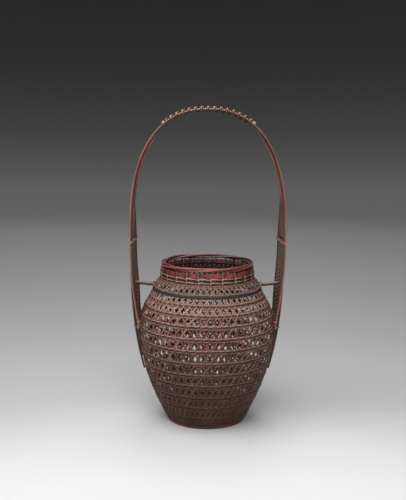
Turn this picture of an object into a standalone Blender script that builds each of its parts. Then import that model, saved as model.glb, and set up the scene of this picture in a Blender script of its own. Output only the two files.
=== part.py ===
"""Ikebana basket: a woven bamboo body with twined bands, a laced neck and a tall bound handle.

Metres, +Z up. The origin is the centre of the base hoop, on the surface that the basket stands on.
The handle spans the X axis, and the front of the basket faces -Y.
"""

import math

import bmesh
import bpy
import numpy as np

# Fits
GAP = 0.0003
WRAP_CLEARANCE = 0.0005

# Base
HOOP_RADIUS = 0.0555
HOOP_WIDTH = 0.0075
HOOP_HEIGHT = 0.0055
HOOP_CHAMFER = 0.0012
MAT_THICKNESS = 0.0016
SPLINT_WIDTH = 0.0070
SPLINT_THICKNESS = 0.0017

# Woven body, from the base hoop up to the ledge under the neck
FOOT_RISE = 0.0030
FOOT_OVERHANG = 0.0035
BODY_HEIGHT = 0.1905
BELLY_RADIUS = 0.0947
WALL_THICKNESS = 0.0018
BAND_THICKNESS = 0.0015
BAND_HALF_HEIGHT = 0.0025
BAND_CREST_SHARE = 0.55
BAND_GROOVE = 0.0008
# Each band's place on the body's height and its radius beside the belly's, from the foot up.
BAND_SHARES = (
    (0.045, 0.669),
    (0.138, 0.758),
    (0.224, 0.832),
    (0.320, 0.902),
    (0.404, 0.942),
    (0.492, 0.975),
    (0.583, 0.994),
    (0.669, 1.000),
    (0.756, 0.990),
    (0.827, 0.931),
    (0.890, 0.857),
)
SHOULDER_HOOP_SHARES = (0.9475, 0.8025)
SHOULDER_HOOP_HALF_HEIGHT = 0.0017
SHOULDER_LINE_HALF_HEIGHT = 0.0011
BELLY_WALL_FIRST_BAND = 3
SHOULDER_WALL_FIRST_BAND = 8
# The weave's openings, one to each side of the rings and to each row: the shares of a side and of a row
# that are left closed at either end. The lower wall is open in its top rows only.
OPENING_SIDE_SHARE = 0.18
OPENING_END_SHARE = 0.21
LOWER_WALL_OPEN_ROWS = 1

# Neck and collar
NECK_RADIUS = 0.0625
LEDGE_WIDTH = 0.0068
LEDGE_RISE = 0.0055
NECK_BAND_HALF_HEIGHT = 0.0016
NECK_BAND_THICKNESS = 0.0018
ROD_RADIUS = 0.0013
LOWER_ROD_RISE = 0.0021
ROD_SPACING = 0.0050
COLLAR_THICKNESS = 0.0012
COLLAR_WIDTH = 0.0056
NECK_EDGE = 0.0007
LACING_RADIUS = 0.0009
LACING_COUNT = 24

# Rim of twisted strands
STRAND_RADIUS = 0.00155
STRAND_COUNT = 3
RIM_TWISTS = 2
RIM_POINTS = 32

# Handle arch. Places on the legs are shares of the body's height, places on the arch shares of its rise.
HANDLE_STANDS_OFF = 0.0108
ARCH_RISE = 0.1575
ARCH_ROUNDNESS_SHARE = 2.35
SPRING_SHARE = 1.4147
TIE_SHARE = 1.2990
ARCH_STEPS = 36
LEG_STEPS = 7

# Handle core: the bamboo strip inside the arch, which crosses to the outside of the legs
CORE_THICKNESS = 0.0026
CORE_GRIP_WIDTH = 0.0070
CORE_LEG_WIDTH = 0.0110
CORE_SET_IN = 0.0029
CORE_STANDS_OUT = 0.0014
CORE_DRAW_IN = 0.0133
CORE_TIP_WIDTH = 0.0050
CORE_TIP_THICKNESS = 0.0024
SEAT_CLEARANCE = 0.0002
CORE_LEAVES_GRIP_ARCH_SHARE = 0.870
CORE_BELOW_GRIP_ARCH_SHARE = 0.730
CORE_CROSSING_ARCH_SHARE = 0.108
CORE_CROSSING_SHARE = 1.136
CORE_TAPER_SHARE = 0.559
CORE_DRAW_IN_SHARE = 0.454
CORE_TIP_SHARE = 0.333

# Handle rods, front and back
HANDLE_ROD_RADIUS = 0.0018
GRIP_HALF_SPREAD = 0.0060
LEG_HALF_SPREAD = 0.0245
TIP_HALF_SPREAD = 0.0210
ROD_DRAW_IN = 0.0125
BACK_ROD_SET_IN = 0.0041
SPREAD_ARCH_SHARE = 0.775
SET_IN_ARCH_SHARE = 0.425
ROD_TIP_SHARE = 0.659
ROD_TIP_BEND_SHARE = 0.980

# Splints and woven panels between the rods
INFILL_THICKNESS = 0.0014
SPLINTS_ARCH_SHARE = 0.533
PANEL_SHARE = 0.743
PANEL_TAIL_SHARE = 0.535
PANEL_TAIL_MARGIN = 0.0010

# Lashings and grip binding
TIE_RADIUS = 0.0012
LASHING_RADIUS = 0.0008
LASHING_SHARE = 0.7125
GRIP_LENGTH = 0.1200
BINDING_RADIUS = 0.0011
BINDING_TURNS = 14
BINDING_POINTS = 14
BINDING_BEND = 0.0014
KNOT_RADIUS = 0.0015

# Pegs
PEG_RADIUS = 0.0026
PEG_RISE = 0.0017
PEG_SHOULDER_GAP = 0.0030
PEG_END_SLANT = 0.0030
TENON_RADIUS = 0.0012
TENON_INSIDE = 0.0030

# Worked out from the sizes above
FOOT_HEIGHT = HOOP_HEIGHT + FOOT_RISE
LEDGE_HEIGHT = FOOT_HEIGHT + BODY_HEIGHT
LEDGE_TOP = LEDGE_HEIGHT + LEDGE_RISE
LOWER_ROD_HEIGHT = LEDGE_TOP + LOWER_ROD_RISE
UPPER_ROD_HEIGHT = LOWER_ROD_HEIGHT + ROD_SPACING
COLLAR_LOW = UPPER_ROD_HEIGHT + ROD_RADIUS + GAP
COLLAR_HIGH = COLLAR_LOW + COLLAR_WIDTH
NECK_TOP = COLLAR_HIGH + NECK_EDGE
ARCH_HALF_SPAN = BELLY_RADIUS + HANDLE_STANDS_OFF

# Mesh detail
RING_SIDES = 24
NECK_ROD_SIDES = 6
PEG_SIDES = 8
LASHING_POINTS = 10
HALF_TURN_STEPS = 4
ARCH_TRIAL_STEPS = 800
SMOOTH_ANGLE = math.radians(40)

FINISHES = {
    "dark_bamboo": ((0.060, 0.034, 0.025), 0.50),
    "band_rattan": ((0.085, 0.042, 0.030), 0.45),
    "pale_rattan": ((0.250, 0.130, 0.095), 0.45),
    "black_hoop": ((0.030, 0.024, 0.022), 0.50),
    "red_lacquer": ((0.330, 0.030, 0.015), 0.28),
    "handle_wrap": ((0.220, 0.085, 0.060), 0.42),
    "grip_rattan": ((0.300, 0.140, 0.070), 0.40),
}


def clear_scene():
    for thing in list(bpy.data.objects):
        bpy.data.objects.remove(thing, do_unlink=True)


def make_finishes():
    """One Principled material for each finish, with its colour and roughness."""
    made = {}
    for name, (colour, roughness) in FINISHES.items():
        finish = bpy.data.materials.new(name)
        finish.use_nodes = True
        shader = finish.node_tree.nodes["Principled BSDF"]
        shader.inputs["Base Color"].default_value = (*colour, 1.0)
        shader.inputs["Roughness"].default_value = roughness
        shader.inputs["Metallic"].default_value = 0.0
        made[name] = finish
    return made


def add_object(name, data, finish):
    piece = bpy.data.objects.new(name, data)
    data.materials.append(finish)
    bpy.context.scene.collection.objects.link(piece)
    return piece


def add_mesh(name, work, finish):
    """Closes the working mesh into a named object, smooth but for its sharp corners."""
    bmesh.ops.recalc_face_normals(work, faces=work.faces)
    mesh = bpy.data.meshes.new(name)
    work.to_mesh(mesh)
    work.free()
    mesh.shade_smooth()
    mesh.set_sharp_from_angle(angle=SMOOTH_ANGLE)
    return add_object(name, mesh, finish)


def ring(name, section, finish):
    """A closed outline of (radius, height) points, spun once round the basket's axis."""
    work = bmesh.new()
    corners = [work.verts.new((radius, 0.0, height)) for radius, height in section]
    edges = [work.edges.new((corners[i - 1], corners[i])) for i in range(len(corners))]
    bmesh.ops.spin(
        work,
        geom=corners + edges,
        cent=(0.0, 0.0, 0.0),
        axis=(0.0, 0.0, 1.0),
        angle=2 * math.pi,
        steps=RING_SIDES,
        use_merge=True,
    )
    return add_mesh(name, work, finish)


def loft(name, sections, finish):
    """Joins outlines of equally many points, one after another, and caps both ends."""
    work = bmesh.new()
    loops = [[work.verts.new(point) for point in section] for section in sections]
    for first, second in zip(loops, loops[1:]):
        for i in range(len(first)):
            work.faces.new((first[i - 1], first[i], second[i], second[i - 1]))
    work.faces.new(loops[0])
    work.faces.new(loops[-1])
    return add_mesh(name, work, finish)


def tube(name, points, radius, finish, closed=False, detail=1):
    """A round rod, strand or lashing along the points."""
    curve = bpy.data.curves.new(name, "CURVE")
    curve.dimensions = "3D"
    curve.bevel_depth = radius
    curve.bevel_resolution = detail
    curve.use_fill_caps = True
    spline = curve.splines.new("POLY")
    spline.points.add(len(points) - 1)
    for point, place in zip(spline.points, points):
        point.co = (*place, 1.0)
    spline.use_cyclic_u = closed
    return add_object(name, curve, finish)


def ease(share):
    """Runs from 0 to 1 with a level start and end."""
    share = np.clip(share, 0.0, 1.0)
    return share * share * (3 - 2 * share)


def passed(height, high, low):
    """0 above the high level, easing to 1 below the low one."""
    return ease((high - height) / (high - low))


def body_level(share):
    """Height of a share of the body's height, counted from the foot."""
    return FOOT_HEIGHT + share * BODY_HEIGHT


def arch_level(share):
    """Height of a share of the arch's rise, counted from where it springs."""
    return body_level(SPRING_SHARE) + share * ARCH_RISE


# Body outline


def band_places():
    """Height and outer radius of each twined band, from the foot up."""
    return [(body_level(up), out * BELLY_RADIUS) for up, out in BAND_SHARES]


def shoulder_hoop_place():
    up, out = SHOULDER_HOOP_SHARES
    return body_level(up), out * BELLY_RADIUS


def body_radius(height):
    """Radius over the bands, straight from one band to the next, drawn in under the foot and to the ledge."""
    cover = BAND_THICKNESS + GAP
    outline = [(HOOP_HEIGHT, HOOP_RADIUS + cover), (FOOT_HEIGHT, HOOP_RADIUS + FOOT_OVERHANG)]
    outline += band_places() + [shoulder_hoop_place()]
    outline.append((LEDGE_HEIGHT, NECK_RADIUS + LEDGE_WIDTH + cover))
    heights, radii = zip(*outline)
    return float(np.interp(height, heights, radii))


def wall_radius(height):
    """Outer face of the woven wall, which the bands lie on."""
    return body_radius(height) - BAND_THICKNESS - GAP


# Base


def build_base(finishes):
    inner = HOOP_RADIUS - HOOP_WIDTH
    section = [
        (inner, 0.0),
        (HOOP_RADIUS - HOOP_CHAMFER, 0.0),
        (HOOP_RADIUS, HOOP_CHAMFER),
        (HOOP_RADIUS, HOOP_HEIGHT - HOOP_CHAMFER),
        (HOOP_RADIUS - HOOP_CHAMFER, HOOP_HEIGHT),
        (inner, HOOP_HEIGHT),
    ]
    ring("base_hoop", section, finishes["red_lacquer"])
    build_bottom_mat(finishes)
    build_bottom_splints(inner, finishes)


def build_bottom_mat(finishes):
    """The woven bottom, a disc inside the wall that rests on the base hoop."""
    low = HOOP_HEIGHT + GAP
    radius = wall_radius(low) - WALL_THICKNESS - GAP
    angles = [2 * math.pi * i / RING_SIDES for i in range(RING_SIDES)]
    rounds = [(radius * math.cos(angle), radius * math.sin(angle)) for angle in angles]
    levels = (low, low + MAT_THICKNESS)
    loft("bottom_mat", [[(x, y, z) for x, y in rounds] for z in levels], finishes["dark_bamboo"])


def build_bottom_splints(hoop_inner, finishes):
    """Two crossed splints under the mat, let in between the sides of the base hoop."""
    clear = hoop_inner * math.cos(math.pi / RING_SIDES) - GAP
    reach = math.sqrt(clear**2 - (SPLINT_WIDTH / 2) ** 2)
    top = HOOP_HEIGHT
    for name, along_x in (("bottom_splint_upper", True), ("bottom_splint_lower", False)):
        low = top - SPLINT_THICKNESS
        half = (reach, SPLINT_WIDTH / 2) if along_x else (SPLINT_WIDTH / 2, reach)
        signs = ((-1, -1), (1, -1), (1, 1), (-1, 1))
        outline = [(half[0] * x, half[1] * y) for x, y in signs]
        loft(name, [[(x, y, z) for x, y in outline] for z in (low, top)], finishes["dark_bamboo"])
        top = low - GAP


# Woven walls and their bands


def build_walls(finishes):
    """The wall in four lengths that meet behind bands, so that each keeps a nearly straight side."""
    bands = [height for height, _ in band_places()]
    foot, half = HOOP_HEIGHT + GAP, GAP / 2
    first, second = BELLY_WALL_FIRST_BAND, SHOULDER_WALL_FIRST_BAND
    lower = [foot, FOOT_HEIGHT, *bands[:first], bands[first] - half]
    belly = [bands[first] + half, *bands[first + 1 : second], bands[second] - half]
    shoulder = [bands[second] + half, *bands[second + 1 :], shoulder_hoop_place()[0], LEDGE_HEIGHT - half]
    plain = len(lower) - 1 - LOWER_WALL_OPEN_ROWS
    open_wall("lower_wall", lower, plain, finishes["dark_bamboo"])
    open_wall("belly_wall", belly, 0, finishes["dark_bamboo"])
    wall = open_wall("shoulder_wall", shoulder, 0, finishes["dark_bamboo"])
    for side in (-1, 1):
        drill_tenon_hole(wall, side)
    build_neck_wall(finishes)


def open_wall(name, heights, plain_rows, finish):
    """A wall with plain rows from its foot up, and above them a diamond opening in each side of each row."""
    work = bmesh.new()
    skins = [wall_skin(work, heights, depth) for depth in (0.0, WALL_THICKNESS)]
    for row in range(len(heights) - 1):
        for side in range(RING_SIDES):
            cells = [cell_corners(skin, row, side) for skin in skins]
            if row < plain_rows:
                for corners in cells:
                    work.faces.new(corners)
            else:
                bridge(work, *[open_cell(work, corners) for corners in cells])
    for level in (0, -1):
        bridge(work, skins[0][level], skins[1][level])
    return add_mesh(name, work, finish)


def wall_skin(work, heights, depth):
    """Rows of corners on one face of the wall, at a depth behind its outer face."""
    angles = [2 * math.pi * side / RING_SIDES for side in range(RING_SIDES)]
    return [[work.verts.new(turned(wall_radius(z) - depth, a, z)) for a in angles] for z in heights]


def cell_corners(skin, row, side):
    low, high = skin[row], skin[row + 1]
    after = (side + 1) % RING_SIDES
    return [low[side], low[after], high[after], high[side]]


def open_cell(work, corners):
    """Fills a flat cell of the wall round a diamond opening, and gives the opening's corners."""
    side, end = OPENING_SIDE_SHARE, OPENING_END_SHARE
    shares = ((1 / 2, end), (1 - side, 1 / 2), (1 / 2, 1 - end), (side, 1 / 2))
    tips = [work.verts.new(cell_point(corners, across, up)) for across, up in shares]
    for i, tip in enumerate(tips):
        near, far = corners[i], corners[(i + 1) % len(corners)]
        work.faces.new((near, far, tip))
        work.faces.new((far, tips[(i + 1) % len(tips)], tip))
    return tips


def cell_point(corners, across, up):
    first, second, third, fourth = [corner.co for corner in corners]
    low = first.lerp(second, across)
    high = fourth.lerp(third, across)
    return low.lerp(high, up)


def bridge(work, first, second):
    """Faces between two closed rows of corners."""
    for i in range(len(first)):
        work.faces.new((first[i - 1], first[i], second[i], second[i - 1]))


def build_neck_wall(finishes):
    ledge = (wall_radius(LEDGE_HEIGHT), LEDGE_HEIGHT + GAP / 2)
    outer = [ledge, (NECK_RADIUS, LEDGE_TOP), (NECK_RADIUS, NECK_TOP)]
    inner = [(radius - WALL_THICKNESS, height) for radius, height in reversed(outer)]
    ring("neck_wall", outer + inner, finishes["dark_bamboo"])


def band_section(height, half_height, thickness):
    """A flat back along the wall and a rounded face, with a corner where the wall bends."""
    crest = half_height * BAND_CREST_SHARE
    back = [(wall_radius(z) + GAP, z) for z in (height + half_height, height, height - half_height)]
    face = [(wall_radius(z) + GAP + thickness, z) for z in (height - crest, height + crest)]
    return back + face


def twined_section(height):
    """A band's section with a groove between its two rows of twining."""
    *back, lower_row, upper_row = band_section(height, BAND_HALF_HEIGHT, BAND_THICKNESS)
    return [*back, lower_row, (body_radius(height) - BAND_GROOVE, height), upper_row]


def build_bands(finishes):
    for number, (height, _) in enumerate(band_places(), start=1):
        ring(f"twined_band_{number:02d}", twined_section(height), finishes["band_rattan"])
    hoop = band_section(shoulder_hoop_place()[0], SHOULDER_HOOP_HALF_HEIGHT, BAND_THICKNESS)
    ring("shoulder_hoop", hoop, finishes["black_hoop"])
    middle = shoulder_line_top() - SHOULDER_LINE_HALF_HEIGHT
    line = band_section(middle, SHOULDER_LINE_HALF_HEIGHT, BAND_THICKNESS)
    ring("shoulder_line", line, finishes["pale_rattan"])


def shoulder_line_top():
    """Top of the pale line that lies on the shoulder hoop."""
    hoop_top = shoulder_hoop_place()[0] + SHOULDER_HOOP_HALF_HEIGHT
    return hoop_top + GAP + 2 * SHOULDER_LINE_HALF_HEIGHT


# Neck


def ledge_radius(height):
    """Outer face of the sloping ledge between shoulder and neck."""
    share = (height - LEDGE_HEIGHT) / LEDGE_RISE
    return wall_radius(LEDGE_HEIGHT) + share * (NECK_RADIUS - wall_radius(LEDGE_HEIGHT))


def neck_band_section():
    """Flat along the sloping ledge, with a rounded face, two gaps off it because the ledge slopes."""
    middle = LEDGE_HEIGHT + LEDGE_RISE / 2
    half = NECK_BAND_HALF_HEIGHT
    crest = half * BAND_CREST_SHARE
    near = [(ledge_radius(z) + 2 * GAP, z) for z in (middle + half, middle - half)]
    far = [(ledge_radius(z) + 2 * GAP + NECK_BAND_THICKNESS, z) for z in (middle - crest, middle + crest)]
    return near + far


def build_neck(finishes):
    ring("neck_base_band", neck_band_section(), finishes["band_rattan"])
    for name, height in (("neck_rod_lower", LOWER_ROD_HEIGHT), ("neck_rod_upper", UPPER_ROD_HEIGHT)):
        ring(name, rod_section(height), finishes["band_rattan"])
    build_collar(finishes)
    build_lacing(finishes)


def rod_section(height):
    """A rod bent round the neck, with a corner towards the wall."""
    centre = NECK_RADIUS + GAP + ROD_RADIUS
    angles = [2 * math.pi * i / NECK_ROD_SIDES for i in range(NECK_ROD_SIDES)]
    return [(centre + ROD_RADIUS * math.cos(a), height + ROD_RADIUS * math.sin(a)) for a in angles]


def build_collar(finishes):
    """A flat strip outside the neck and one inside, which the lacing binds together."""
    outside = NECK_RADIUS + GAP
    inside = NECK_RADIUS - WALL_THICKNESS - GAP - COLLAR_THICKNESS
    for name, near in (("collar_strip_outer", outside), ("collar_strip_inner", inside)):
        far = near + COLLAR_THICKNESS
        section = [(near, COLLAR_LOW), (far, COLLAR_LOW), (far, COLLAR_HIGH), (near, COLLAR_HIGH)]
        ring(name, section, finishes["red_lacquer"])


def build_lacing(finishes):
    """One closed lacing strand: up over rods and collar, along under the rim, down, and along again."""
    rod_ring = NECK_RADIUS + GAP + ROD_RADIUS
    over_rods = rod_ring + ROD_RADIUS + GAP + LACING_RADIUS
    over_collar = NECK_RADIUS + GAP + COLLAR_THICKNESS + GAP + LACING_RADIUS
    stroke = [
        (over_collar, LOWER_ROD_HEIGHT - ROD_RADIUS - GAP - LACING_RADIUS),
        (over_rods, LOWER_ROD_HEIGHT - ROD_RADIUS),
        (over_rods, UPPER_ROD_HEIGHT + ROD_RADIUS / 2),
        (over_collar, COLLAR_LOW + 2 * LACING_RADIUS),
        (over_collar, COLLAR_HIGH - LACING_RADIUS / 2),
    ]
    points = []
    for number in range(LACING_COUNT):
        upwards = number % 2 == 0
        places = stroke if upwards else stroke[::-1]
        angle = 2 * math.pi * number / LACING_COUNT
        points += [turned(radius, angle, height) for radius, height in places]
        radius, height = places[-1]
        points.append(turned(radius, angle + math.pi / LACING_COUNT, height))
    tube("collar_lacing", points, LACING_RADIUS, finishes["pale_rattan"], closed=True, detail=0)


def turned(radius, angle, height):
    return (radius * math.cos(angle), radius * math.sin(angle), height)


def build_rim(finishes):
    """Strands laid round each other on a circle over the neck wall, each closed on itself."""
    lay = (2 * STRAND_RADIUS + GAP) / (2 * math.sin(math.pi / STRAND_COUNT))
    middle = NECK_RADIUS - WALL_THICKNESS / 2
    height = NECK_TOP + GAP + lay + STRAND_RADIUS
    for number in range(STRAND_COUNT):
        points = []
        for i in range(RIM_POINTS):
            angle = 2 * math.pi * i / RIM_POINTS
            phase = RIM_TWISTS * angle + 2 * math.pi * number / STRAND_COUNT
            points.append(turned(middle + lay * math.cos(phase), angle, height + lay * math.sin(phase)))
        tube(f"rim_strand_{number + 1}", points, STRAND_RADIUS, finishes["red_lacquer"], closed=True)


# Handle


def taper(height):
    """1 on the leg, falling to 0 at the tip of the core."""
    return 1 - passed(height, body_level(CORE_TAPER_SHARE), body_level(CORE_TIP_SHARE))


def leg_spread(height):
    """0 at the grip, 1 from the leg tie down."""
    return passed(height, arch_level(SPREAD_ARCH_SHARE), body_level(TIE_SHARE))


def core_width(height):
    wide = CORE_GRIP_WIDTH + (CORE_LEG_WIDTH - CORE_GRIP_WIDTH) * leg_spread(height)
    return CORE_TIP_WIDTH + (wide - CORE_TIP_WIDTH) * taper(height)


def core_thickness(height):
    return CORE_TIP_THICKNESS + (CORE_THICKNESS - CORE_TIP_THICKNESS) * taper(height)


def core_stands_out(height):
    """How far the core lies outside the line of the arch: inside above the leg tie, outside below it."""
    leaves = passed(height, arch_level(CORE_LEAVES_GRIP_ARCH_SHARE), arch_level(CORE_BELOW_GRIP_ARCH_SHARE))
    crosses = passed(height, arch_level(CORE_CROSSING_ARCH_SHARE), body_level(CORE_CROSSING_SHARE))
    spring = body_level(SPRING_SHARE)
    down = np.clip((spring - height) / (spring - body_level(CORE_DRAW_IN_SHARE)), 0.0, None)
    return CORE_STANDS_OUT * crosses - CORE_SET_IN * leaves * (1 - crosses) - CORE_DRAW_IN * down**3


def rod_tip_bend(height):
    """0 above the pegs, 1 at the tips of the rods."""
    return passed(height, body_level(ROD_TIP_BEND_SHARE), body_level(ROD_TIP_SHARE))


def rod_stands_out(height, front):
    """How far a rod lies outside the line of the arch: the legs draw in, and the back rod sits further in."""
    tie = body_level(TIE_SHARE)
    down = np.clip((tie - height) / (tie - body_level(ROD_TIP_SHARE)), 0.0, None)
    set_in = BACK_ROD_SET_IN * passed(height, arch_level(SET_IN_ARCH_SHARE), tie) * (1 - rod_tip_bend(height))
    return -ROD_DRAW_IN * down**2 - (0.0 if front else 1.0) * set_in


def arch_half(steps):
    """Right half of the arch, from its crown to its spring: a superellipse, in even steps."""
    turn = np.linspace(math.pi / 2, 0.0, ARCH_TRIAL_STEPS)
    power = 2 / ARCH_ROUNDNESS_SHARE
    x = ARCH_HALF_SPAN * np.clip(np.cos(turn), 0.0, None) ** power
    z = arch_level(np.sin(turn) ** power)
    run = np.concatenate([[0.0], np.cumsum(np.hypot(np.diff(x), np.diff(z)))])
    even = np.linspace(0.0, run[-1], steps + 1)
    return np.interp(even, run, x), np.interp(even, run, z)


def half_line(lowest):
    """The arch's line on the right, from the crown down to a height, with a point beside each band."""
    x, z = arch_half(ARCH_STEPS // 2)
    panel = body_level(PANEL_SHARE)
    bands = [height for height, _ in band_places() if lowest < height < panel]
    upper = np.linspace(body_level(SPRING_SHARE), panel, LEG_STEPS + 1)[1:]
    heights = np.concatenate([upper, bands[::-1], [lowest]])
    x = np.concatenate([x, np.full(len(heights), ARCH_HALF_SPAN)])
    z = np.concatenate([z, heights])
    return np.stack([x, 0 * x, z], axis=1)


def seated(half, spread, half_thickness):
    """Moves the leg's points out where they would come nearer to the bands than the seat's clearance."""
    reach = np.array([body_radius(height) for height in half[:, 2]]) + GAP + SEAT_CLEARANCE + half_thickness
    seat = np.sqrt(np.clip(reach**2 - spread**2, 0.0, None))
    low = half[:, 2] < body_level(SPRING_SHARE)
    half[:, 0] = np.where(low, np.maximum(half[:, 0], seat), half[:, 0])
    return half


def core_half(lowest):
    """Right half of the core's middle line, from the crown down."""
    line = half_line(lowest)
    height = line[:, 2].copy()
    half = line + path_normals(line) * core_stands_out(height)[:, None]
    return seated(half, 0 * height, core_thickness(height) / 2)


def both_sides(half):
    """The left side mirrored and joined to the right side at the crown."""
    left = half[::-1] * np.array([-1.0, 1.0, 1.0])
    return np.concatenate([left, half[1:]])


def rod_half(front):
    """Right half of the front or back rod, from the crown down."""
    line = half_line(body_level(ROD_TIP_SHARE))
    height = line[:, 2].copy()
    spread = GRIP_HALF_SPREAD + (LEG_HALF_SPREAD - GRIP_HALF_SPREAD) * leg_spread(height)
    spread = spread - (LEG_HALF_SPREAD - TIP_HALF_SPREAD) * rod_tip_bend(height)
    half = line + path_normals(line) * rod_stands_out(height, front)[:, None]
    half[:, 1] = -spread if front else spread
    return seated(half, spread, HANDLE_ROD_RADIUS)


def path_normals(path):
    """Outward directions across a path that lies in the plane of the handle."""
    along = np.gradient(path, axis=0)
    along[:, 1] = 0.0
    along /= np.linalg.norm(along, axis=1)[:, None]
    return np.stack([-along[:, 2], along[:, 1], along[:, 0]], axis=1)


def build_core(finishes):
    """The bamboo strip that carries the handle, from one tip over the crown to the other."""
    path = both_sides(core_half(body_level(CORE_TIP_SHARE)))
    outward = path_normals(path)
    sections = []
    for point, normal in zip(path, outward):
        half = np.array([0.0, core_width(point[2]) / 2, 0.0])
        deep = normal * core_thickness(point[2]) / 2
        sections.append([point - half - deep, point + half - deep, point + half + deep, point - half + deep])
    loft("handle_core", sections, finishes["red_lacquer"])


def build_rods(finishes):
    for name, front in (("handle_rod_front", True), ("handle_rod_back", False)):
        path = both_sides(rod_half(front))
        tube(name, path, HANDLE_ROD_RADIUS, finishes["handle_wrap"])


def rail_at(rail, heights):
    """Points of a half line at the given heights."""
    return np.stack([np.interp(-heights, -rail[:, 2], rail[:, axis]) for axis in range(3)], axis=-1)


def rails_between(high, low):
    """Right side points of core, front rod and back rod from one height down to another."""
    tip = body_level(ROD_TIP_SHARE)
    rails = [core_half(tip), rod_half(True), rod_half(False)]
    heights = half_line(tip)[:, 2]
    inner = heights[(heights < high) & (heights > low)]
    wanted = np.concatenate([[high], inner, [low]])
    return [rail_at(rail, wanted) for rail in rails]


def build_splints(finishes):
    """Thin splints laid flat between the core and each rod, from the grip to the leg tie."""
    low = body_level(TIE_SHARE) + TIE_RADIUS + WRAP_CLEARANCE
    core, front, back = rails_between(arch_level(SPLINTS_ARCH_SHARE), low)
    for word, rod in (("front", front), ("back", back)):
        sections = []
        for middle, edge in zip(core, rod):
            across = (edge - middle) / np.linalg.norm(edge - middle)
            clear = core_width(middle[2]) / 2 + INFILL_THICKNESS / 2 + GAP
            start = middle + across * clear / abs(across[1])
            end = edge - across * (HANDLE_ROD_RADIUS + GAP)
            deep = np.array([-across[1], across[0], 0.0]) * INFILL_THICKNESS / 2
            sections.append([start - deep, end - deep, end + deep, start + deep])
        for side, sign in (("left", -1), ("right", 1)):
            turned_over = [[point * np.array([sign, 1, 1]) for point in loop] for loop in sections]
            loft(f"splints_{word}_{side}", turned_over, finishes["dark_bamboo"])


def build_panels(finishes):
    """Twined panels behind the core: from rod to rod below the leg tie, then narrowing to a tail."""
    high = body_level(TIE_SHARE) - TIE_RADIUS - WRAP_CLEARANCE
    wide, tail = body_level(PANEL_SHARE), body_level(PANEL_TAIL_SHARE)
    rails = rails_between(high, wide)
    sections = [panel_section(middle, fore, aft) for middle, fore, aft in zip(*rails)]
    core = core_half(body_level(CORE_TIP_SHARE))
    inner = core[(core[:, 2] < wide) & (core[:, 2] > tail)]
    sections += [panel_section(middle) for middle in (*inner, rail_at(core, tail))]
    for side, sign in (("left", -1), ("right", 1)):
        mirrored = [[point * np.array([sign, 1, 1]) for point in loop] for loop in sections]
        loft(f"leg_panel_{side}", mirrored, finishes["dark_bamboo"])


def panel_section(middle, fore=None, aft=None):
    """A panel's outline behind the core, reaching towards both rods or a little past the core's edges."""
    outward = np.array([1.0, 0.0, 0.0])
    face = middle - outward * (core_thickness(middle[2]) / 2 + GAP)
    half = np.array([0.0, core_width(middle[2]) / 2, 0.0])
    margin = np.array([0.0, PANEL_TAIL_MARGIN, 0.0])
    fore_edge = face - half - margin if fore is None else edge_towards(fore, face)
    aft_edge = face + half + margin if aft is None else edge_towards(aft, face)
    outer = [fore_edge, face - half, face + half, aft_edge]
    return outer + [point - outward * INFILL_THICKNESS for point in reversed(outer)]


def edge_towards(rod, face):
    """The panel's edge beside a rod, clear of it on the side that faces the core."""
    across = face - rod
    across[2] = 0.0
    across /= np.linalg.norm(across)
    return rod + across * (HANDLE_ROD_RADIUS + GAP + INFILL_THICKNESS / 2)


def half_turn(centre, radius, start):
    """Points of a level half turn round a rod, clockwise from a starting angle."""
    angles = [start - math.pi * i / HALF_TURN_STEPS for i in range(HALF_TURN_STEPS + 1)]
    return [centre + radius * np.array([math.cos(a), math.sin(a), 0.0]) for a in angles]


def build_leg_ties(finishes):
    """A lashing round both rods and the core of each leg, level with the knots."""
    level = body_level(TIE_SHARE)
    core = rail_at(core_half(body_level(ROD_TIP_SHARE)), level)
    front, back = [rail_at(rod_half(front), level) for front in (True, False)]
    around = HANDLE_ROD_RADIUS + WRAP_CLEARANCE + TIE_RADIUS
    over = core[0] + core_thickness(level) / 2 + WRAP_CLEARANCE + TIE_RADIUS
    half = core_width(level) / 2
    loop = half_turn(front, around, 0.0) + half_turn(back, around, math.pi)
    loop += [np.array([over, half, level]), np.array([over, -half, level])]
    for side, sign in (("left", -1), ("right", 1)):
        points = [point * np.array([sign, 1, 1]) for point in loop]
        tube(f"leg_tie_{side}", points, TIE_RADIUS, finishes["pale_rattan"], closed=True)


def build_rod_lashings(finishes):
    """A small lashing round the end of each rod, over the body's widest bands."""
    around = HANDLE_ROD_RADIUS + WRAP_CLEARANCE + LASHING_RADIUS
    for word, front in (("front", True), ("back", False)):
        middle = rail_at(rod_half(front), body_level(LASHING_SHARE))
        for side, sign in (("left", -1), ("right", 1)):
            points = []
            for i in range(LASHING_POINTS):
                angle = 2 * math.pi * i / LASHING_POINTS
                out = np.array([math.cos(angle), math.sin(angle), 0.0]) * around
                points.append((middle + out) * np.array([sign, 1, 1]))
            name = f"rod_lashing_{word}_{side}"
            tube(name, points, LASHING_RADIUS, finishes["pale_rattan"], closed=True, detail=0)


# Grip


def grip_outline(shares, radius):
    """Offsets across and up, by shares of its length, of the outline round both rods at the grip."""
    turn = np.linspace(0.0, math.pi, BINDING_POINTS)
    side = GRIP_HALF_SPREAD + radius * np.sin(turn)
    rise = radius * np.cos(turn)
    across = np.concatenate([[0.0], side, -side, [0.0]])
    up = np.concatenate([[radius], rise, -rise, [radius]])
    run = np.concatenate([[0.0], np.cumsum(np.hypot(np.diff(across), np.diff(up)))])
    place = np.mod(shares, 1.0) * run[-1]
    return np.interp(place, run, across), np.interp(place, run, up)


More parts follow.
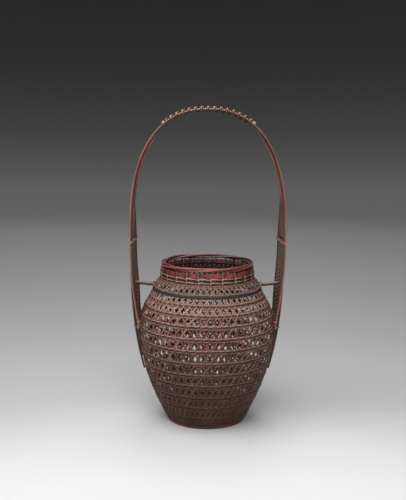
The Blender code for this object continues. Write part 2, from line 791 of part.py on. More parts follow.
class GripLine:
    """The arch's middle line by the distance along it from the crown, positive to the right."""

    def __init__(self):
        x, z = arch_half(ARCH_STEPS // 2)
        self.path = both_sides(np.stack([x, 0 * x, z], axis=1))
        steps = np.linalg.norm(np.diff(self.path, axis=0), axis=1)
        run = np.concatenate([[0.0], np.cumsum(steps)])
        self.run = run - run[-1] / 2
        self.normals = path_normals(self.path)

    def at(self, distance, across, up):
        """The point beside the line at a distance along it, by its offsets in Y and outwards."""
        point = np.array([np.interp(distance, self.run, self.path[:, axis]) for axis in range(3)])
        normal = np.array([np.interp(distance, self.run, self.normals[:, axis]) for axis in range(3)])
        return point + np.array([0.0, across, 0.0]) + normal / np.linalg.norm(normal) * up


def least_gap(points, turn_points, radius):
    """Least distance between parts of a wound tube that lie half a turn or more apart, less its width."""
    places = np.array(points)
    apart = np.linalg.norm(places[:, None] - places[None], axis=2)
    order = np.arange(len(places))
    near = np.abs(order[:, None] - order[None]) < turn_points * 3 // 4
    apart[near] = np.inf
    return float(apart.min()) - 2 * radius


def build_grip(finishes):
    """The grip's binding: one strand wound round core and rods, between two end knots."""
    line = GripLine()
    radius = HANDLE_ROD_RADIUS + WRAP_CLEARANCE + BINDING_RADIUS
    count = BINDING_TURNS * BINDING_POINTS
    steps = np.arange(count + 1)
    offsets = zip(GRIP_LENGTH * (steps / count - 1 / 2), *grip_outline(steps / BINDING_POINTS, radius))
    points = [line.at(distance, across, up) for distance, across, up in offsets]
    end = GRIP_LENGTH / 2 + BINDING_BEND
    straight = end + 2 * BINDING_RADIUS
    points = [line.at(-straight, 0.0, radius), line.at(-end, 0.0, radius)] + points
    points += [line.at(end, 0.0, radius), line.at(straight, 0.0, radius)]
    gap = least_gap(points, BINDING_POINTS, BINDING_RADIUS)
    print(f"least gap between turns of the grip binding: {gap * 1000:.2f} mm")
    tube("grip_binding", points, BINDING_RADIUS, finishes["grip_rattan"])
    build_grip_knots(line, straight, finishes)


def build_grip_knots(line, binding_end, finishes):
    radius = HANDLE_ROD_RADIUS + WRAP_CLEARANCE + KNOT_RADIUS
    place = binding_end + GAP + KNOT_RADIUS
    shares = np.arange(BINDING_POINTS) / BINDING_POINTS
    for side, sign in (("left", -1), ("right", 1)):
        points = [line.at(sign * place, across, up) for across, up in zip(*grip_outline(shares, radius))]
        tube(f"grip_knot_{side}", points, KNOT_RADIUS, finishes["grip_rattan"], closed=True)


# Pegs


def tenon_height():
    """The tenon's hole passes just over the shoulder's line."""
    return shoulder_line_top() + 2 * GAP + TENON_RADIUS


def drill_tenon_hole(wall, side):
    """A round hole through the shoulder for a peg's tenon."""
    bpy.ops.mesh.primitive_cylinder_add(
        vertices=PEG_SIDES,
        radius=TENON_RADIUS + GAP,
        depth=BELLY_RADIUS,
        location=(side * BELLY_RADIUS, 0.0, tenon_height()),
        rotation=(0.0, math.pi / 2, 0.0),
    )
    cutter = bpy.context.active_object
    cutter.name = f"tenon_hole_{'right' if side > 0 else 'left'}"
    cutter.hide_render = True
    cutter.display_type = "WIRE"
    cut = wall.modifiers.new(cutter.name, "BOOLEAN")
    cut.operation = "DIFFERENCE"
    cut.object = cutter


def peg_stations():
    """Distance from the axis, height, radius and slant of a peg's sections, from its tenon to its leg."""
    tenon = tenon_height()
    inner = tenon + TENON_RADIUS - PEG_RADIUS
    outer = inner + PEG_RISE
    tip = wall_radius(tenon) - WALL_THICKNESS - TENON_INSIDE
    shoulder = body_radius(inner - PEG_RADIUS) + PEG_SHOULDER_GAP
    core_face = rail_at(core_half(body_level(ROD_TIP_SHARE)), outer)[0] - CORE_THICKNESS / 2
    end = core_face - GAP - INFILL_THICKNESS - GAP - PEG_END_SLANT
    return [
        (tip, tenon, TENON_RADIUS, 0.0),
        (shoulder, tenon, TENON_RADIUS, 0.0),
        (shoulder, inner, PEG_RADIUS, 0.0),
        (end, outer, PEG_RADIUS, PEG_END_SLANT),
    ]


def build_pegs(finishes):
    """A peg from each leg to the shoulder, with a thin tenon through the wall over the shoulder's line."""
    for side, sign in (("left", -1), ("right", 1)):
        sections = []
        for x, height, radius, slant in peg_stations():
            loop = []
            for i in range(PEG_SIDES):
                angle = 2 * math.pi * (i + 1 / 2) / PEG_SIDES
                y, up = radius * math.cos(angle), radius * math.sin(angle)
                loop.append((sign * (x + slant * up / radius), y, height + up))
            sections.append(loop)
        loft(f"peg_{side}", sections, finishes["pale_rattan"])


def main():
    clear_scene()
    finishes = make_finishes()
    build_base(finishes)
    build_walls(finishes)
    build_bands(finishes)
    build_neck(finishes)
    build_rim(finishes)
    build_core(finishes)
    build_rods(finishes)
    build_splints(finishes)
    build_panels(finishes)
    build_leg_ties(finishes)
    build_rod_lashings(finishes)
    build_grip(finishes)
    build_pegs(finishes)


main()
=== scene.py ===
"""A handled flower basket of lacquered bamboo, in metres and +Z up.

The body is crossed splints under twined rows, with a laced collar and a twisted rim. The handle is a
lacquered strip between two wound rods, with a bound grip.
"""

import math

import bpy
import numpy as np
from mathutils import Matrix, Vector


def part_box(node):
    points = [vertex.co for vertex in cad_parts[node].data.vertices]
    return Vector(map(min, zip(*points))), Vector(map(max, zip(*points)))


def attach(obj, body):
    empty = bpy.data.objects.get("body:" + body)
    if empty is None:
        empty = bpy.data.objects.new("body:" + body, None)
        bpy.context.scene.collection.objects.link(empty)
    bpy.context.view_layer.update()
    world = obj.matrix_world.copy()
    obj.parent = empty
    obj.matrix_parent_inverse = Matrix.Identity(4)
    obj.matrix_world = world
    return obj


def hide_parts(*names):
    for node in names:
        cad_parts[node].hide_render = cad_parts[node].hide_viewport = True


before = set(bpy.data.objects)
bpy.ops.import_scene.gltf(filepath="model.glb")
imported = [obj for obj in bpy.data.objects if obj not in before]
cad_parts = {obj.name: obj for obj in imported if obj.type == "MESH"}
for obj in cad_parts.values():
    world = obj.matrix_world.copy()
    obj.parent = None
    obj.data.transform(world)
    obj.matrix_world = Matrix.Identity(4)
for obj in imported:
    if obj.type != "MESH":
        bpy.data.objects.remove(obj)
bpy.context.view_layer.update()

MM = 0.001
SIDES = (("left", -1), ("right", 1))
UPWARDS = np.array([0.0, 0.0, 1.0])


# Sizes of the woven body, in metres

FOOT = 0.0085
BODY = 0.1905
BELLY = 0.0947
HOOP_RADIUS = 0.0555
HOOP_TOP = 0.0055
LEDGE = FOOT + BODY
NECK = 0.0625
NECK_TOP = 0.2195
NECK_ROW = 0.2018
NECK_CROSSINGS = (NECK_ROW, 0.2058, 0.2098, 0.2140)
# Each twined row's height and radius, as shares of the body's height and the belly's radius
BAND_SHARES = (
    (0.045, 0.669), (0.138, 0.758), (0.224, 0.832), (0.320, 0.902), (0.404, 0.942), (0.492, 0.975),
    (0.583, 0.994), (0.669, 1.000), (0.756, 0.990), (0.827, 0.931), (0.890, 0.857),
)
BANDS = [(FOOT + up * BODY, out * BELLY) for up, out in BAND_SHARES]
SHOULDER_HOOP = (FOOT + 0.9475 * BODY, 0.8025 * BELLY)
SPLINTS = 57
OUTLINE = (
    [(HOOP_TOP, HOOP_RADIUS + 1.8 * MM), (FOOT, HOOP_RADIUS + 3.5 * MM)]
    + BANDS
    + [SHOULDER_HOOP, (LEDGE, NECK + 8.6 * MM)]
    + [(LEDGE + 5.5 * MM, NECK + 2.1 * MM), (NECK_TOP, NECK + 1.6 * MM)]
)


def body_radius(height):
    """Radius over the twined rows, straight from one row to the next."""
    heights, radii = np.array(OUTLINE).T
    return np.interp(height, heights, radii)


def ease(share):
    """Runs from 0 to 1 with a level start and end."""
    share = np.clip(share, 0.0, 1.0)
    return share * share * (3 - 2 * share)


def unit(vectors):
    """Each vector divided by its own length."""
    return vectors / np.maximum(np.linalg.norm(vectors, axis=-1, keepdims=True), 1e-12)


def full_turn(count):
    """Even angles once round, with the last step left open."""
    return np.linspace(0.0, 2 * np.pi, count, endpoint=False)


def section_turn(sides):
    """Angles of a section's points, counted round from its widest side."""
    return 2 * np.pi * np.arange(sides) / sides


def with_zero(first, second):
    """Level vectors: two coordinates, and 0 as the third."""
    return np.stack([first, second, 0 * first], -1)


def facing_of(sides):
    """How far each side of a section faces outwards: the sine of its angle, from -1 to 1."""
    return np.sin(section_turn(sides))


def crown_of(sides):
    """The sine of a section's angle on the sides that face outwards, and 0 on the others."""
    return np.clip(facing_of(sides), 0.0, 1.0)


def signed_power(numbers, power):
    """The size of each number raised to a power, with its sign kept."""
    return np.sign(numbers) * np.abs(numbers) ** power


def run_along(path):
    """Distance of each point of a path from its start, measured along the path."""
    return np.concatenate([[0.0], np.cumsum(np.linalg.norm(np.diff(path, axis=0), axis=1))])


# Meshes from whole arrays of points


def strands(name, points, finish, tone, wear_and_shade, closed=False):
    """Makes one mesh of several strands. points is strand by station by side by 3. Each station is joined to
    the next by quads, and an open strand gets a flat end at each side. Its map runs along the strand in
    centimetres and round it as a share. tone is one value per strand, station or point, and the wear and
    shade value one per station or point: above zero it is wear, on some pieces with a painted highlight in
    it, and below zero it is painted shade."""
    count, stations, sides = points.shape[:3]
    row, side = np.meshgrid(np.arange(stations - (not closed)), np.arange(sides), indexing="ij")
    row = row.ravel()[:, None] + np.array([0, 0, 1, 1])
    side = side.ravel()[:, None] + np.array([0, 1, 1, 0])
    one = (row % stations) * sides + side % sides
    start = (np.arange(count) * stations * sides)[:, None, None]
    quads = (one + start).reshape(-1, 4)
    middle = points.mean(2)
    hop = np.linalg.norm(np.roll(middle, -1, 1) - middle, axis=2)
    run = np.concatenate([np.zeros((count, 1)), np.cumsum(hop, 1)], 1) / 0.01
    run += 3.7 * np.arange(count)[:, None]
    along = run[:, row]
    around = np.broadcast_to(side / sides, along.shape)
    lay = np.stack([along, around], -1).reshape(-1, 2)
    ends = np.empty((0, sides), int)
    if not closed:
        ring = np.arange(sides)
        first = ring[::-1] + start[:, 0]
        last = ring + start[:, 0] + (stations - 1) * sides
        ends = np.concatenate([first, last])
        end_run = np.repeat(np.concatenate([run[:, 0], run[:, stations - 1]]), sides)
        lay = np.concatenate([lay, np.stack([end_run, np.tile(ring / sides, 2 * count)], 1)])
    tone = np.asarray(tone)
    shape = tone.shape if tone.ndim == 3 else (count, -1, 1)
    values = {
        "tone": np.broadcast_to(tone.reshape(shape), points.shape[:3]).ravel(),
        "wear_and_shade": np.broadcast_to(wear_and_shade, points.shape[:3]).ravel(),
    }
    return mesh_piece(name, points.reshape(-1, 3), quads, ends, lay, values, finish)


def mesh_piece(name, points, quads, ends, lay, values, finish):
    """Puts points, quads, end faces, map and values into a mesh whose faces look outwards."""
    a, b, c, d = points[quads].transpose(1, 0, 2)
    volume = (np.cross(b - a, c - a) * a).sum() + (np.cross(c - a, d - a) * a).sum()
    corners = [quads, ends]
    lay_parts = [lay[: quads.size].reshape(-1, 4, 2), lay[quads.size :].reshape(-1, ends.shape[1], 2)]
    if volume < 0:
        corners = [part[:, ::-1] for part in corners]
        lay_parts = [part[:, ::-1] for part in lay_parts]
    index = np.concatenate([part.ravel() for part in corners])
    sizes = np.concatenate([np.full(len(part), part.shape[1]) for part in corners])
    mesh = bpy.data.meshes.new(name)
    mesh.vertices.add(len(points))
    mesh.vertices.foreach_set("co", points.astype(np.float32).ravel())
    mesh.loops.add(len(index))
    mesh.polygons.add(len(sizes))
    mesh.polygons.foreach_set("loop_start", (np.cumsum(sizes) - sizes).astype(np.int32))
    mesh.loops.foreach_set("vertex_index", index.astype(np.int32))
    mesh.update(calc_edges=True)
    mesh.polygons.foreach_set("use_smooth", np.repeat([True, False], [len(quads), len(ends)]))
    layer = mesh.uv_layers.new(name="lay")
    layer.uv.foreach_set("vector", np.concatenate([part.ravel() for part in lay_parts]).astype(np.float32))
    for word, numbers in values.items():
        mesh.attributes.new(word, "FLOAT", "POINT").data.foreach_set("value", numbers.astype(np.float32))
    mesh.materials.append(finish)
    made = bpy.data.objects.new(name, mesh)
    bpy.context.scene.collection.objects.link(made)
    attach(made, "root")
    return made


def directions(path, closed):
    """Direction along each path, by central differences."""
    if closed:
        return unit(np.roll(path, -1, -2) - np.roll(path, 1, -2))
    return unit(np.gradient(path, axis=-2))


def carried(path, outward, profile, closed=False):
    """Carries a profile along paths: across is the direction at right angles to the path and to outward, and
    each profile point is its first number across plus its second outward."""
    along = directions(path, closed)
    across = unit(np.cross(along, outward))
    out = np.cross(across, along)
    profile = np.asarray(profile)
    return path[..., None, :] + profile[..., :1] * across[..., None, :] + profile[..., 1:] * out[..., None, :]


def oval(half_width, half_depth, sides):
    """An oval profile, counted round from its widest side."""
    turn = section_turn(sides)
    return np.stack([half_width * np.cos(turn), half_depth * np.sin(turn)], -1)


SPLINT_OUTLINE = (
    (1.0, 0.0), (0.82, 0.8), (0.0, 1.1), (-0.82, 0.8), (-1.0, 0.0), (-0.82, -0.8), (0.0, -1.0), (0.82, -0.8)
)


def splint_section(half_width, half_depth):
    """A flat splint's section: an outline of eight points, crowned on its face and back, times half the width
    and half the depth."""
    size = np.stack(np.broadcast_arrays(half_width, half_depth), -1)
    return np.array(SPLINT_OUTLINE) * size[..., None, :]


def round_path(angle, radius, height):
    """Points round the upright axis from their angle, radius and height. Angle 0 faces the viewer."""
    return np.stack([radius * np.sin(angle), -radius * np.cos(angle), height + 0 * angle], -1)


def outwards(angle):
    """Level directions away from the upright axis: sine of the angle in X, minus its cosine in Y."""
    return np.stack([np.sin(angle), -np.cos(angle), 0 * angle], -1)


def twined_row(height, radius, depth, thick, high, phase, turns=29, sides=7, steps=348):
    """Two strands twined round the splints: each swings out and in by half the depth as a cosine with its
    peaks cut flat, and up and down a little as the sine, of a phase that goes round turns times. Gives the
    strands' points, and how far out each station swings, which sets its wear."""
    angle = full_turn(steps)
    turn = turns * angle + phase + np.array([[0.0], [np.pi]])
    swing = np.cos(turn)
    out = radius - thick - depth / 2 + (depth / 2) * np.clip(1.25 * swing, -1, 1)
    level = height + 0.2 * high * np.sin(turn)
    level += 0.16 * MM * np.sin(5 * angle + phase) + 0.1 * MM * np.sin(11 * angle + 2 * phase)
    path = round_path(angle, out, level)
    points = carried(path, outwards(angle), oval(high, thick, sides), closed=True)
    return points, 0.62 + 0.38 * swing


# Finishes


def node(tree, kind, inputs=None, **settings):
    """Adds a node, gives it its settings, and links or sets each of its inputs."""
    made = tree.nodes.new(kind)
    for word, value in settings.items():
        setattr(made, word, value)
    for socket, value in (inputs or {}).items():
        if isinstance(value, bpy.types.NodeSocket):
            tree.links.new(value, made.inputs[socket])
        else:
            made.inputs[socket].default_value = value
    return made


def ramp(tree, share, stops):
    """A colour or grey ramp through (place, colour) stops."""
    made = node(tree, "ShaderNodeValToRGB", {"Fac": share})
    edge = made.color_ramp.elements
    while len(edge) < len(stops):
        edge.new(0.5)
    for element, (place, colour) in zip(edge, stops):
        element.position = place
        element.color = (*colour, 1.0) if isinstance(colour, tuple) else (colour, colour, colour, 1.0)
    return made.outputs["Color"]


def maths(tree, operation, first, second, third=0.0, clamp=False):
    """One sum, product or the like of up to three values."""
    return node(
        tree, "ShaderNodeMath", {0: first, 1: second, 2: third}, operation=operation, use_clamp=clamp
    ).outputs[0]


def mixed(tree, share, first, second, blend="MIX"):
    """The first colour blended with the second by a share."""
    made = node(tree, "ShaderNodeMix", {"Factor": share}, data_type="RGBA", blend_type=blend)
    for socket, value in ((6, first), (7, second)):
        if isinstance(value, bpy.types.NodeSocket):
            tree.links.new(value, made.inputs[socket])
        else:
            made.inputs[socket].default_value = (*value, 1.0)
    return made.outputs[2]


def noise(tree, place, scale, detail, roughness=0.55):
    """Soft random blotches, scale of them to a metre or to one unit of the strand's map."""
    values = {"Vector": place, "Scale": scale, "Detail": detail, "Roughness": roughness}
    return node(tree, "ShaderNodeTexNoise", values).outputs["Fac"]


def start_finish(name, roughness, coat):
    """A new material with its shader, and its places: on the object and along the strand."""
    finish = bpy.data.materials.new(name)
    finish.use_nodes = True
    tree = finish.node_tree
    shader = tree.nodes["Principled BSDF"]
    shader.inputs["Roughness"].default_value = roughness
    shader.inputs["Coat Weight"].default_value = coat
    shader.inputs["Coat Roughness"].default_value = 0.25
    body = node(tree, "ShaderNodeTexCoord").outputs["Object"]
    strand = node(tree, "ShaderNodeUVMap", uv_map="lay").outputs["UV"]
    return finish, tree, shader, body, strand


def fibres(tree, strand, along, across):
    """Fine lines that run along the strand: blotches drawn out by a scale along it and another round it."""
    stretched = node(tree, "ShaderNodeMapping", {"Vector": strand, "Scale": (along, across, 1.0)})
    return noise(tree, stretched.outputs["Vector"], 1.0, 2.0, 0.6)


def value_of(tree, word):
    """The tone, or the wear and painted shade value, that the mesh carries."""
    return node(tree, "ShaderNodeAttribute", attribute_name=word).outputs["Fac"]


def relief(tree, shader, height, strength, distance):
    """Tips the shading by a height, for the fibres, which are too fine for the mesh."""
    bump = node(tree, "ShaderNodeBump", {"Height": height, "Strength": strength, "Distance": distance})
    tree.links.new(bump.outputs["Normal"], shader.inputs["Normal"])


def strand_finish(
    name, low, middle, high, worn, wear, roughness=0.46, levels=None, coat=0.0, grain=(1.2, 9.0), even=0.5
):
    """Stained rattan or bamboo: three colours picked by blotches and by each strand's own tone, made paler by
    wear where the wear and shade value is above zero, which on some pieces is also a painted highlight, with
    fibres along it. Where that value is below zero the strand gets painted shade, the dark of the shaded
    inside. levels is painted light and shade by height: it darkens the foot and the neck of the body, and
    leaves them less worn. even is the weight of the tone beside the blotches."""
    finish, tree, shader, body, strand = start_finish(name, roughness, coat)
    blotch = noise(tree, body, 55.0, 3.0)
    fine = fibres(tree, strand, *grain)
    tone = value_of(tree, "tone")
    pick = maths(tree, "MULTIPLY_ADD", tone, even, maths(tree, "MULTIPLY", blotch, 0.55))
    pick = maths(tree, "MULTIPLY_ADD", fine, 0.35, maths(tree, "SUBTRACT", pick, 0.18))
    colour = ramp(tree, pick, ((0.25, low), (0.5, middle), (0.8, high)))
    wear_and_shade = value_of(tree, "wear_and_shade")
    speck = noise(tree, body, 420.0, 2.0)
    # Share of the pale colour: wear, and on some pieces a painted highlight on the side turned to the light
    wear_and_highlight = maths(tree, "MULTIPLY", maths(tree, "MULTIPLY_ADD", speck, 0.9, 0.35), wear_and_shade)
    wear_and_highlight = maths(tree, "MULTIPLY", wear_and_highlight, wear, clamp=True)
    if levels:
        shader.inputs["Specular IOR Level"].default_value = 0.3
        height = node(tree, "ShaderNodeSeparateXYZ", {"Vector": body}).outputs["Z"]
        share = maths(tree, "DIVIDE", height, LEVELS_TOP, clamp=True)
        # Painted light and shade by height on the body, and less wear low down
        colour = mixed(tree, 1.0, colour, ramp(tree, share, levels), "MULTIPLY")
        wear_and_highlight = maths(tree, "MULTIPLY", wear_and_highlight, ramp(tree, share, WEAR_AND_HIGHLIGHT_LEVELS))
    colour = mixed(tree, wear_and_highlight, colour, worn)
    # Painted shade: below zero the colour goes to that of the shaded inside
    painted_shade = maths(tree, "MULTIPLY", wear_and_shade, -1.0, clamp=True)
    inside = ramp(tree, share, INSIDE_SHADE_LEVELS) if levels else INSIDE_SHADE
    colour = mixed(tree, painted_shade, colour, inside)
    tree.links.new(colour, shader.inputs["Base Color"])
    gloss = maths(tree, "MULTIPLY_ADD", speck, 0.3, maths(tree, "MULTIPLY_ADD", fine, 0.14, roughness - 0.2))
    tree.links.new(gloss, shader.inputs["Roughness"])
    relief(tree, shader, fine, 0.35, 0.15 * MM)
    return finish


# Painted light and shade, and wear, by height on the body, as shares of LEVELS_TOP
LEVELS_TOP = 0.22
# Painted shade for the inside faces of pieces off the body
INSIDE_SHADE = (0.016, 0.011, 0.009)
# Painted light and shade by height: the foot darker, as in shade under the belly, the upper belly and
# shoulder lighter, as lit from above, and the neck darker again
BODY_LIGHT_LEVELS = (
    (0.0, (0.36, 0.24, 0.18)), (0.30, (0.50, 0.36, 0.29)), (0.60, (0.88, 0.77, 0.71)),
    (0.80, (0.94, 0.88, 0.85)), (0.87, (0.62, 0.54, 0.52)),
)
# Painted shade on inside faces by height: brown and lighter low down, where light comes through the weave,
# near black from the shoulder up, and dark red brown behind the neck rods
INSIDE_SHADE_LEVELS = (
    (0.0, (0.200, 0.120, 0.090)), (0.30, (0.180, 0.114, 0.090)), (0.45, (0.120, 0.078, 0.062)),
    (0.60, (0.055, 0.050, 0.050)), (0.72, (0.040, 0.040, 0.042)), (0.77, (0.012, 0.009, 0.008)),
    (0.93, (0.012, 0.009, 0.008)), (0.94, (0.050, 0.020, 0.014)),
)
# Share of wear by height; on the shoulder this paleness is also a painted highlight of the light from above
WEAR_AND_HIGHLIGHT_LEVELS = (
    (0.0, 0.10), (0.25, 0.16), (0.45, 0.38), (0.66, 0.80), (0.81, 1.0), (0.87, 0.62), (0.92, 0.45)
)

finishes = {
    "outer_splints": strand_finish(
        "stained outer splints", (0.098, 0.050, 0.039), (0.150, 0.068, 0.050), (0.290, 0.042, 0.024),
        (0.800, 0.520, 0.410), levels=BODY_LIGHT_LEVELS, wear=1.0, even=0.75, coat=0.04,
    ),
    "inner_splints": strand_finish(
        "smoked inner splints", (0.110, 0.055, 0.042), (0.165, 0.080, 0.059), (0.230, 0.110, 0.080),
        (0.740, 0.470, 0.370), levels=BODY_LIGHT_LEVELS, wear=0.95, coat=0.04,
    ),
    "twined": strand_finish(
        "twined rattan", (0.044, 0.020, 0.015), (0.100, 0.038, 0.028), (0.240, 0.080, 0.052),
        (0.800, 0.490, 0.365), levels=BODY_LIGHT_LEVELS, wear=0.95, coat=0.08,
    ),
    "pale": strand_finish(
        "pale pinkish rattan", (0.120, 0.062, 0.046), (0.230, 0.110, 0.080), (0.380, 0.200, 0.145),
        (0.680, 0.470, 0.375), wear=0.75,
    ),
    "lacing": strand_finish(
        "red brown lacing", (0.120, 0.050, 0.036), (0.220, 0.090, 0.062), (0.340, 0.160, 0.110),
        (0.700, 0.430, 0.320), wear=0.9, coat=0.2,
    ),
    "black": strand_finish(
        "blackened hoop winding", (0.012, 0.010, 0.009), (0.020, 0.015, 0.013), (0.036, 0.026, 0.022),
        (0.100, 0.070, 0.060), wear=0.4, roughness=0.56,
    ),
    "lacquer": strand_finish(
        "worn red lacquer", (0.060, 0.016, 0.012), (0.290, 0.030, 0.016), (0.480, 0.055, 0.025),
        (0.420, 0.300, 0.260), roughness=0.34, coat=0.35, wear=0.35, grain=(0.5, 6.0),
    ),
    "dark_lacquer": strand_finish(
        "dark red lacquer", (0.050, 0.020, 0.017), (0.140, 0.045, 0.034), (0.270, 0.060, 0.038),
        (0.300, 0.150, 0.115), roughness=0.38, coat=0.25, wear=0.3, grain=(0.5, 6.0),
    ),
    "foot_lacquer": strand_finish(
        "brown red foot lacquer", (0.024, 0.012, 0.010), (0.110, 0.022, 0.012), (0.300, 0.050, 0.020),
        (0.300, 0.110, 0.070), roughness=0.45, coat=0.1, wear=0.25, grain=(0.5, 6.0),
    ),
    "wound_rod": strand_finish(
        "rod wound with fine rattan", (0.110, 0.034, 0.025), (0.250, 0.075, 0.052), (0.430, 0.145, 0.098),
        (0.820, 0.520, 0.400), wear=1.0, grain=(4.0, 3.0),
    ),
    # A darker copy of the rod winding: painted shade for the back rod
    "shaded_back_rod": strand_finish(
        "shaded rod winding", (0.060, 0.030, 0.024), (0.130, 0.055, 0.040), (0.220, 0.090, 0.062),
        (0.300, 0.180, 0.140), wear=0.4, grain=(4.0, 3.0),
    ),
    "grip": strand_finish(
        "golden grip rattan", (0.070, 0.034, 0.022), (0.200, 0.090, 0.048), (0.480, 0.240, 0.110),
        (0.880, 0.560, 0.300), roughness=0.34, coat=0.3, wear=0.9,
    ),
    "panel": strand_finish(
        "fine woven leg panel", (0.050, 0.034, 0.028), (0.085, 0.054, 0.043), (0.130, 0.076, 0.058),
        (0.520, 0.350, 0.280), wear=1.0,
    ),
    "grey_splints": strand_finish(
        "grey brown leg splints", (0.060, 0.042, 0.034), (0.110, 0.080, 0.066), (0.170, 0.125, 0.105),
        (0.300, 0.240, 0.210), wear=0.4,
    ),
}


def tones(seed, count):
    """One shade per strand, from 0 to 1, the same on every run."""
    return np.random.default_rng(seed).uniform(0.0, 1.0, count)


# Body: two layers of slanting splints that cross at each row and halfway to the next


def splint_stations():
    """Heights at which the splints cross: over the base, under each twined row and the shoulder hoop, and up
    the neck to the collar."""
    heights = [HOOP_TOP + 0.6 * MM] + [band[0] for band in BANDS]
    return np.array(heights + [SHOULDER_HOOP[0] + 1.4 * MM, *NECK_CROSSINGS, NECK_TOP - 0.8 * MM])


# Half a splint's width in mm at some heights, and how red it is between the rows at others
WIDTH_LEVELS = (0.010, 0.045, 0.070, 0.100, 0.140, 0.165, 0.190, 0.200, 0.204)
HALF_WIDTHS = (2.45, 2.05, 1.68, 1.42, 1.30, 1.15, 1.10, 1.12, 1.45)
RED_LEVELS = (0.02, 0.110, 0.135, 0.160, 0.180, 0.200)
REDNESS = (0.05, 0.10, 0.75, 1.0, 0.25, 0.15)
SPLINT_HALF_DEPTH = 0.27 * MM
STEPS_TO_A_ROW = 6
# Height above which the splints get painted shade, behind the neck rods and collar
NECK_SHADE_FROM = 0.2035


def lattice_layer(name, slant, depth_at_row, depth_between, finish, seed, redness, wear_and_highlight):
    """Splint i runs from foot to collar. With t counted in rows, its angle is (i + slant * t) splint
    spacings, a little steeper near each row, and its radius lies under the body's line by a depth that varies
    as the cosine. It is reddest between the rows of the belly, by redness, and worn palest at the rows and,
    by rubbed, on the shoulder, where this paleness is also a painted highlight of the light from above. Its
    back faces get painted shade, and above the neck row the whole splint does."""
    heights = splint_stations()
    t = np.linspace(0.0, len(heights) - 1, STEPS_TO_A_ROW * (len(heights) - 1) + 1)
    height = np.interp(t, np.arange(len(heights)), heights)
    near_row = (1 + np.cos(2 * np.pi * t)) / 2
    shift = t - 0.22 * np.sin(2 * np.pi * t) / (2 * np.pi)
    angle = 2 * np.pi * (np.arange(SPLINTS)[:, None] + slant * shift) / SPLINTS + math.radians(1.5)
    jitter = np.random.default_rng(seed)
    wobble = np.repeat(jitter.normal(0.0, 1.0, (SPLINTS, len(heights))), STEPS_TO_A_ROW, 1)[:, : len(t)]
    angle += math.radians(0.16) * wobble * (1 - near_row)
    radius = body_radius(height) - depth_between - (depth_at_row - depth_between) * near_row
    path = round_path(angle, radius, np.broadcast_to(height, angle.shape))
    half_width = np.interp(height, WIDTH_LEVELS, np.array(HALF_WIDTHS) * MM)
    points = carried(path, outwards(angle), splint_section(half_width, SPLINT_HALF_DEPTH))
    # Wear at the rows and, on the shoulder, wear with a painted highlight of the light from above
    shoulder = ease((height - 0.155) / 0.020)
    worn = np.clip(0.08 + 0.25 * near_row + wear_and_highlight * shoulder, 0.0, 1.0)
    worn = worn + 0.15 * jitter.normal(0.0, 1.0, (SPLINTS, 1))
    # Paleness on the face points; painted shade on the three back points, and on the whole splint above the
    # neck row
    wear_and_shade = np.clip(worn, 0.0, 1.0)[..., None] * np.array([0.6, 1.0, 0.6, 0.9, 0.5, 0.0, 0.0, 0.0])
    wear_and_shade = wear_and_shade - 0.9 * np.array([0.0, 0.0, 0.0, 0.0, 0.0, 1.0, 1.0, 1.0])
    wear_and_shade = np.where(height[:, None] > NECK_SHADE_FROM, np.minimum(wear_and_shade, -0.6), wear_and_shade)
    red = redness * np.interp(height, RED_LEVELS, REDNESS)
    own = 0.35 * (tones(seed, SPLINTS) - 0.5)
    tone = (0.15 + red * (1 - near_row) ** 4)[None, :, None] + own[:, None, None]
    return strands(name, points, finish, tone=tone, wear_and_shade=wear_and_shade)


outer = lattice_layer(
    "slanting_splints_outer", 1, 1.55 * MM, 0.62 * MM, finishes["outer_splints"], 11, 0.9, 0.55
)
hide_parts("lower_wall", "belly_wall", "shoulder_wall", "neck_wall")
lattice_layer("slanting_splints_inner", -1, 2.20 * MM, 1.15 * MM, finishes["inner_splints"], 23, 0.4, 0.85)


# Twined rows


def joined_rows(rows):
    """Puts the strands of several rows into one array, with each point's wear and shade value: its station's
    wear on the sides that face out, and painted shade, down to -1, on those that face in."""
    points = np.concatenate([row[0] for row in rows])
    swing = np.concatenate([row[1] for row in rows])
    faces = facing_of(points.shape[2])
    return points, swing[:, :, None] * np.clip(faces, 0.0, 1.0) + np.clip(faces, -1.0, 0.0)


def worn_by(wear_and_shade, share):
    """Lessens the wear above zero by a share, and leaves the painted shade as it is."""
    return np.where(wear_and_shade > 0, wear_and_shade * share, wear_and_shade)


# The three pairs of strands in a twined row, from the lowest up: height from the row's middle, half height
# and how far back it sits, in mm. Then how worn and how light each of the six strands is; the upper pair's
# extra paleness is a painted highlight, as it faces up to the light.
BAND_PAIRS = ((-1.90, 1.05, 0.05), (0.0, 1.0, 0.30), (1.95, 1.10, 0.0))
STRAND_WEAR_AND_LIGHT = np.array([0.40, 0.50, 0.10, 0.15, 0.85, 0.90])[:, None, None]
STRAND_SHADES = np.array([0.20, 0.35, -0.10, 0.0, 0.45, 0.60])

for number, (height, _) in enumerate(BANDS, 1):
    rows = []
    for step, high, back in BAND_PAIRS:
        level = height + step * MM
        outside = body_radius(level) - back * MM
        rows.append(twined_row(level, outside, 2.3 * MM, 0.66 * MM, high * MM, phase=0.7 * number + step))
    points, wear_and_shade = joined_rows(rows)
    wear_and_shade = worn_by(wear_and_shade, STRAND_WEAR_AND_LIGHT)
    shade = 0.3 * tones(40 + number, 6) + STRAND_SHADES
    name = f"twined_rows_{number:02d}"
    made = strands(name, points, finishes["twined"], closed=True, tone=shade, wear_and_shade=wear_and_shade)
    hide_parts(f"twined_band_{number:02d}")


# Shoulder hoop, pale line and neck row


